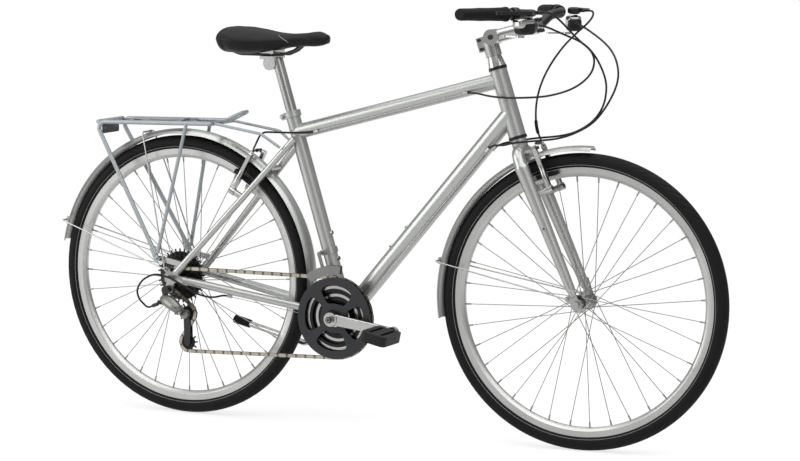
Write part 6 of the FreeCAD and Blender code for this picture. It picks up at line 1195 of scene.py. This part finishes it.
@dataclass
class ChainGuard:
    """The dark guard disc with four rounded windows."""

    radius: float = 98.5 * MM
    offset: float = -66.5 * MM
    thickness: float = 4.0 * MM
    edge: float = 0.7 * MM
    crank_turn: float = math.radians(-6.5)
    windows: int = 4
    window_reach: float = 58.0 * MM
    window_depth: float = 22.0 * MM
    window_span: float = math.radians(35.0)
    corner: float = 0.42
    hole: float = 20.6 * MM

    def outline(self) -> List[Array]:
        """Give the outer circle, the windows as rounded boxes in radius and angle, and the middle hole.

        Returns:
            Closed outlines in metres about the centre.
        """
        turn, step = turns(160), turns(56)
        circle = np.column_stack((np.cos(turn), np.sin(turn)))
        reach = self.window_reach + self.window_depth * signed_power(np.cos(step), self.corner)
        span = self.window_span * signed_power(np.sin(step), self.corner)
        windows = []
        for i in range(self.windows):
            angle = self.crank_turn + i * 0.5 * math.pi + span
            windows.append(np.column_stack((reach * np.cos(angle), reach * np.sin(angle))))
        return [self.radius * circle, *windows, self.hole * circle]

    def build(self, box: Paintbox) -> None:
        """Fill the outline as a flat curve with rounded edges, and turn it into a mesh in its place."""
        curve = bpy.data.curves.new("chain_guard_outline", "CURVE")
        curve.dimensions = "2D"
        curve.fill_mode = "BOTH"
        curve.extrude = self.thickness / 2 - self.edge
        curve.bevel_depth = self.edge
        curve.offset = -self.edge
        curve.bevel_resolution = 2
        for points in self.outline():
            flat = np.column_stack((points, np.zeros(len(points))))
            add_spline(curve, "POLY", flat).use_cyclic_u = True
        mesh = mesh_of(curve)
        x, _, z = BRACKET
        mesh.transform(Matrix(((1, 0, 0, x), (0, 0, -1, self.offset), (0, 1, 0, z), (0, 0, 0, 1))))
        piece = bpy.data.objects.new("chain_guard_disc", mesh)
        bpy.context.scene.collection.objects.link(piece)
        keep(piece, "crankset", box.material(GUARD_RESIN), ("chain_guard",))


@dataclass
class RearMech:
    """The bulky body of the rear derailleur."""

    points: Tuple[Point, ...] = (
        (-560, -80, 297), (-550, -83, 294), (-528, -90, 287), (-506, -97, 277), (-495, -97, 271))
    up: Point = (0.43, 0.5, 0.75)
    half_width: float = 9.5
    width_swell: float = 6.0
    half_height: float = 9.0
    height_swell: float = 6.5

    def build(self, box: Paintbox) -> None:
        """Sweep a swelling section from the hanger to the cage head."""
        line = bent_line(self.points)
        share = np.linspace(0.0, 1.0, len(line))
        swell = np.sin(math.pi * share)
        close = rounding(2 * share - 1, 8, 0.02) * MM
        wide = (self.half_width + self.width_swell * swell**0.7) * close
        tall = (self.half_height + self.height_swell * swell) * close
        piece = sweep("mech_body", line, wide, tall, np.array(self.up), 0.7)
        keep(piece, "shift_link", box.material(GREY_ALLOY), ("rear_derailleur_link",))


@dataclass
class ForkBlades:
    """The full, tapering outer form of the two fork blades."""

    tops: Tuple[Point, Point] = ((397.23, -45.38, 658.26), (389.61, 46.27, 655.78))
    ends: Tuple[Point, Point] = ((527.92, -49.29, 371.15), (519.14, 56.30, 368.29))
    ahead: Point = (0.90716, 0.08661, 0.41177)
    thick: float = 16.4
    slim: float = 10.2
    lift: float = 16.0
    dome_share: float = 0.06
    end_share: float = 0.05
    oval: Tuple[float, float] = (0.94, 1.06)
    hole_share: float = 0.5
    hole_reach: float = 12.2
    hole_size: Point = (3.1, 3.1, 1.2)

    def build(self, box: Paintbox) -> None:
        """Sweep an oval section down each blade, with a domed top and a closing end."""
        spans = ((0.0, 0.06, 12), (0.07, 0.93, 60), (0.94, 1.0, 12))
        share = np.concatenate([np.linspace(*span) for span in spans])
        dome = rounding(1.0 - ramp(share / self.dome_share), 2, 0.015)
        close = rounding(ramp((share - 1.0 + self.end_share) / self.end_share), 2, 0.015)
        taper = self.thick + (self.slim - self.thick) * share**1.1
        half = taper * dome * close * MM
        for name, top, end in zip(("right", "left"), self.tops, self.ends):
            start, finish = np.array(top), np.array(end)
            way = unit(finish - start)
            start = start - way * self.lift
            path = (start + share[:, None] * (finish - start)) * MM
            ahead = np.array(self.ahead)
            wide, deep = (half * share_of for share_of in self.oval)
            piece = sweep(f"fork_blade_{name}", path, wide, deep, ahead, 1.0, 40)
            keep(piece, "steering", box.material(SILVER_PAINT))
            ahead = unit(ahead)
            side = unit(np.cross(ahead, way))
            side = side if side[1] * start[1] > 0.0 else -side
            # A dark disc on each blade stands for a hole in the blade: painted shade.
            mouth = start + self.hole_share * (finish - start) + side * self.hole_reach
            hole = pod(f"fork_hole_{name}", mouth, (ahead, way, side), self.hole_size, 0.9)
            keep(hole, "steering", box.material(DARK_STEEL))


ARM_SPAN = (-0.09, 1.0)
ARM_WIDTH = 6.7
ARM_WIDTH_SWELL = 3.4
ARM_DEPTH = 5.2
ARM_DEPTH_SWELL = 0.8
ARM_SWELL_LENGTHS = (0.17, 0.25)
ARM_TAPER = 0.6
ARM_FACE = 5.6


@dataclass(frozen=True)
class BrakeArm:
    """The outer form of one brake arm, swollen round a dark oval.

    Attributes:
        body: Body that carries the arm.
        foot: Middle of its pivot in millimetres.
        head: Middle of its upper end.
        out: Direction of the pivot, away from the frame.
        swell: Share of its length where the arm is widest.
    """

    body: str
    foot: Point
    head: Point
    out: Point
    swell: float = 0.30

    def build(self, box: Paintbox) -> None:
        """Sweep the arm, and lay the oval and the pivot bolt on its face."""
        foot, head, out = np.array(self.foot), np.array(self.head), unit(np.array(self.out))
        way = unit(head - foot)
        across = np.cross(way, out)
        first, last = ARM_SPAN
        share = np.linspace(first, last, 56)
        path = (foot + share[:, None] * (head - foot)) * MM
        close = rounding((2 * share - first - last) / (last - first), 14, 0.02) * MM
        wider, deeper = (np.exp(-(((share - self.swell) / length) ** 2)) for length in ARM_SWELL_LENGTHS)
        wide = (ARM_WIDTH + ARM_WIDTH_SWELL * wider - ARM_TAPER * share) * close
        tall = (ARM_DEPTH + ARM_DEPTH_SWELL * deeper) * close
        arm = sweep(f"{self.body}_limb", path, wide, tall, out, 0.62, 28)
        keep(arm, self.body, box.material(POLISHED_ALLOY))
        face = foot + self.swell * (head - foot) + out * ARM_FACE
        parts = (
            ("oval", face, (15.5, 6.2, 1.6), 0.95, DARK_STEEL),
            ("core", face + out * 0.9, (9.5, 3.2, 1.4), 0.95, GREY_ALLOY),
            ("bolt", foot + out * 7.6, (5.0, 5.0, 2.6), 0.7, DARK_STEEL),
        )
        for name, centre, half, power, finish in parts:
            piece = pod(f"{self.body}_{name}", centre, (way, across, out), half, power)
            keep(piece, self.body, box.material(finish))


BRAKE_ARMS = (
    BrakeArm("front_right_brake", (463.869, -36.086, 611.247), (421.953, -29.086, 702.121),
             (0.907, 0.087, 0.412)),
    BrakeArm("front_left_brake", (457.072, 45.602, 609.039), (416.482, 36.663, 700.344),
             (0.907, 0.087, 0.412)),
    BrakeArm("rear_right_brake", (-377.736, -41.0, 566.982), (-330.789, -33.0, 655.276),
             (-0.883, 0.0, 0.469)),
    BrakeArm("rear_left_brake", (-377.736, 41.0, 566.982), (-330.789, 33.0, 655.276),
             (-0.883, 0.0, 0.469)),
)


@dataclass
class SeatClamp:
    """The polished cradle and bolts that hold the saddle rails."""

    place: Point = (-289.0, 0.0, 897.0)
    along: Point = (0.94, 0.0, -0.34)

    def build(self, box: Paintbox) -> None:
        """Make the cradle, its upper jaw and the two bolt heads."""
        along = unit(np.array(self.along))
        side = np.array((0.0, 1.0, 0.0))
        up = np.cross(along, side)
        centre = np.array(self.place)
        parts = (
            ("cradle", centre - up * 3.0, (25.0, 17.0, 9.5), 0.62, POLISHED_ALLOY),
            ("jaw", centre + up * 11.0, (17.0, 27.5, 4.2), 0.55, POLISHED_ALLOY),
            ("bolt_front", centre + along * 15.0 - up * 9.0, (4.2, 4.2, 7.5), 0.5, DARK_STEEL),
            ("bolt_back", centre - along * 16.0 - up * 9.0, (4.2, 4.2, 7.5), 0.5, DARK_STEEL),
        )
        for name, middle, half, power, finish in parts:
            piece = pod(f"saddle_{name}", middle, (along, side, up), half, power)
            keep(piece, "seat", box.material(finish))


@dataclass
class CrankBolt:
    """The dark cap and its bright ring in the crank's eye."""

    place: Point = (-84.979, -96.4, 276.0)
    radius: float = 8.0
    height: float = 1.4
    ring: float = 4.4
    ring_height: float = 1.3
    wire: float = 0.7

    def build(self, box: Paintbox) -> None:
        """Make a low dome and a ring round it."""
        centre = np.array(self.place)
        axes = (np.array((1.0, 0.0, 0.0)), np.array((0.0, 0.0, 1.0)), np.array((0.0, -1.0, 0.0)))
        cap = pod("crank_cap", centre, axes, (self.radius, self.radius, self.height), 0.9)
        keep(cap, "crankset", box.material(DARK_STEEL))
        roll = turns(12)
        reach = (self.ring + self.wire * np.cos(roll)) * MM
        rise = (self.ring_height + self.wire * np.sin(roll)) * MM
        ring = hoop("crank_cap_ring", centre * MM, axes, reach, rise, 40)
        keep(ring, "crankset", box.material(BRIGHT_STEEL))


LAMPS = (
    ("overhead_softbox", (0.4, -0.6, 3.6), (0.0, 0.0, 0.4), 5.0, 150.0),
    ("side_softbox", (3.8, -3.4, 2.6), (0.0, 0.0, 0.6), 2.8, 22.0),
    ("tail_softbox", (-3.9, -2.9, 1.9), (0.0, 0.0, 0.6), 3.2, 112.0),
)


@dataclass(frozen=True)
class Studio:
    """The camera, the floor and the plain soft light."""

    place: Point = (3.0448, -5.9340, 1.3263)
    turn: float = 0.4662
    tilt: float = 0.1254
    roll: float = -0.0019
    lens: float = 126.27
    sensor: float = 36.0
    far_clip: float = 300.0
    floor_size: float = 120.0
    floor_grey: float = 0.92
    floor_fade: Tuple[float, float] = (1.2, 4.5)
    floor_glow: float = 0.72
    sky_heights: Tuple[float, float] = (0.05, 0.85)
    sky_levels: Tuple[float, float] = (0.30, 0.85)

    def camera(self) -> None:
        """Set the camera where the photograph was taken."""
        data = bpy.data.cameras.new("camera")
        data.lens = self.lens
        data.sensor_width = self.sensor
        data.clip_end = self.far_clip
        camera = bpy.data.objects.new("camera", data)
        bpy.context.scene.collection.objects.link(camera)
        flat = math.cos(self.tilt)
        ahead = Vector((-math.sin(self.turn) * flat, math.cos(self.turn) * flat, -math.sin(self.tilt)))
        turned = ahead.to_track_quat("-Z", "Y").to_matrix().to_4x4() @ Matrix.Rotation(self.roll, 4, "Z")
        camera.matrix_world = Matrix.Translation(self.place) @ turned
        bpy.context.scene.camera = camera

    def floor(self) -> None:
        """Lay a pale floor that keeps the shadow and reads as white."""
        half = self.floor_size / 2
        corners = np.array(((-half, -half, 0.0), (half, -half, 0.0), (half, half, 0.0), (-half, half, 0.0)))
        floor = Shaper.mesh("floor", corners, np.array(((0, 1, 2, 3),)))
        material = bpy.data.materials.new("pale_floor")
        material.use_nodes = True
        nodes = material.node_tree.nodes
        nodes.remove(nodes["Principled BSDF"])
        graph = Graph(material.node_tree)
        matte = graph.add("ShaderNodeBsdfDiffuse", Color=(*(self.floor_grey,) * 3, 1.0))
        glow = graph.add("ShaderNodeEmission", Strength=1.0)
        place = graph.add("ShaderNodeTexCoord").outputs["Object"]
        away = graph.add("ShaderNodeVectorMath", place, operation="LENGTH").outputs["Value"]
        start, end = self.floor_fade
        far = graph.add("ShaderNodeMapRange", away, interpolation_type="SMOOTHSTEP",
                        From_Min=start, From_Max=end, To_Min=self.floor_glow)
        share = graph.add("ShaderNodeMath", self.seen(graph), far.outputs["Result"], operation="MULTIPLY")
        mix = graph.add("ShaderNodeMixShader", share.outputs[0], matte.outputs[0], glow.outputs[0])
        graph.feed(nodes["Material Output"].inputs["Surface"], mix.outputs[0])
        floor.data.materials.append(material)

    @staticmethod
    def seen(graph: Graph) -> NodeSocket:
        """Add up the rays that see the background: camera, glossy and transmission.

        Args:
            graph: The graph to add the nodes to.

        Returns:
            A socket that is 1 for such a ray.
        """
        path = graph.add("ShaderNodeLightPath").outputs
        seen = path["Is Camera Ray"]
        for name in ("Is Glossy Ray", "Is Transmission Ray"):
            seen = graph.add("ShaderNodeMath", seen, path[name], operation="MAXIMUM").outputs[0]
        return seen

    def light(self) -> None:
        """Hang the soft lamps and set the world."""
        world = bpy.data.worlds.new("studio")
        bpy.context.scene.world = world
        world.use_nodes = True
        graph = Graph(world.node_tree)
        sky = graph.add("ShaderNodeTexCoord").outputs["Generated"]
        height = graph.add("ShaderNodeSeparateXYZ", sky).outputs["Z"]
        low, high = self.sky_heights
        dim, bright = self.sky_levels
        level = graph.add("ShaderNodeMapRange", height, interpolation_type="SMOOTHSTEP",
                          From_Min=low, From_Max=high, To_Min=dim, To_Max=bright)
        background = world.node_tree.nodes["Background"]
        graph.feed(background.inputs["Color"], (1.0, 1.0, 1.0, 1.0))
        graph.feed(background.inputs["Strength"], level.outputs["Result"])
        for name, place, aim, size, power in LAMPS:
            data = bpy.data.lights.new(name, "AREA")
            data.size = size
            data.energy = power
            lamp = bpy.data.objects.new(name, data)
            bpy.context.scene.collection.objects.link(lamp)
            way = Vector(aim) - Vector(place)
            lamp.matrix_world = Matrix.Translation(place) @ way.to_track_quat("-Z", "Y").to_matrix().to_4x4()

    def build(self) -> None:
        """Set up the whole studio."""
        bpy.context.scene.view_settings.view_transform = "Standard"
        self.camera()
        self.floor()
        self.light()


def main() -> None:
    """Build the studio, the cables and then every other piece."""
    logging.basicConfig(level=logging.INFO)
    Studio().build()
    box = Paintbox()
    Cables().build(box)
    Dresser(box).dress()
    Saddle().build(box)
    Grips().build(box)
    Controls().build(box)
    ChainGuard().build(box)
    RearMech().build(box)
    ForkBlades().build(box)
    CrankBolt().build(box)
    SeatClamp().build(box)
    for arm in BRAKE_ARMS:
        arm.build(box)
    Tyre("front_tyre", "front_wheel", FRONT_AXLE, FRONT_AXIS).build(box)
    Tyre("rear_tyre", "rear_wheel", REAR_AXLE, REAR_AXIS).build(box)


if __name__ == "__main__":
    main()
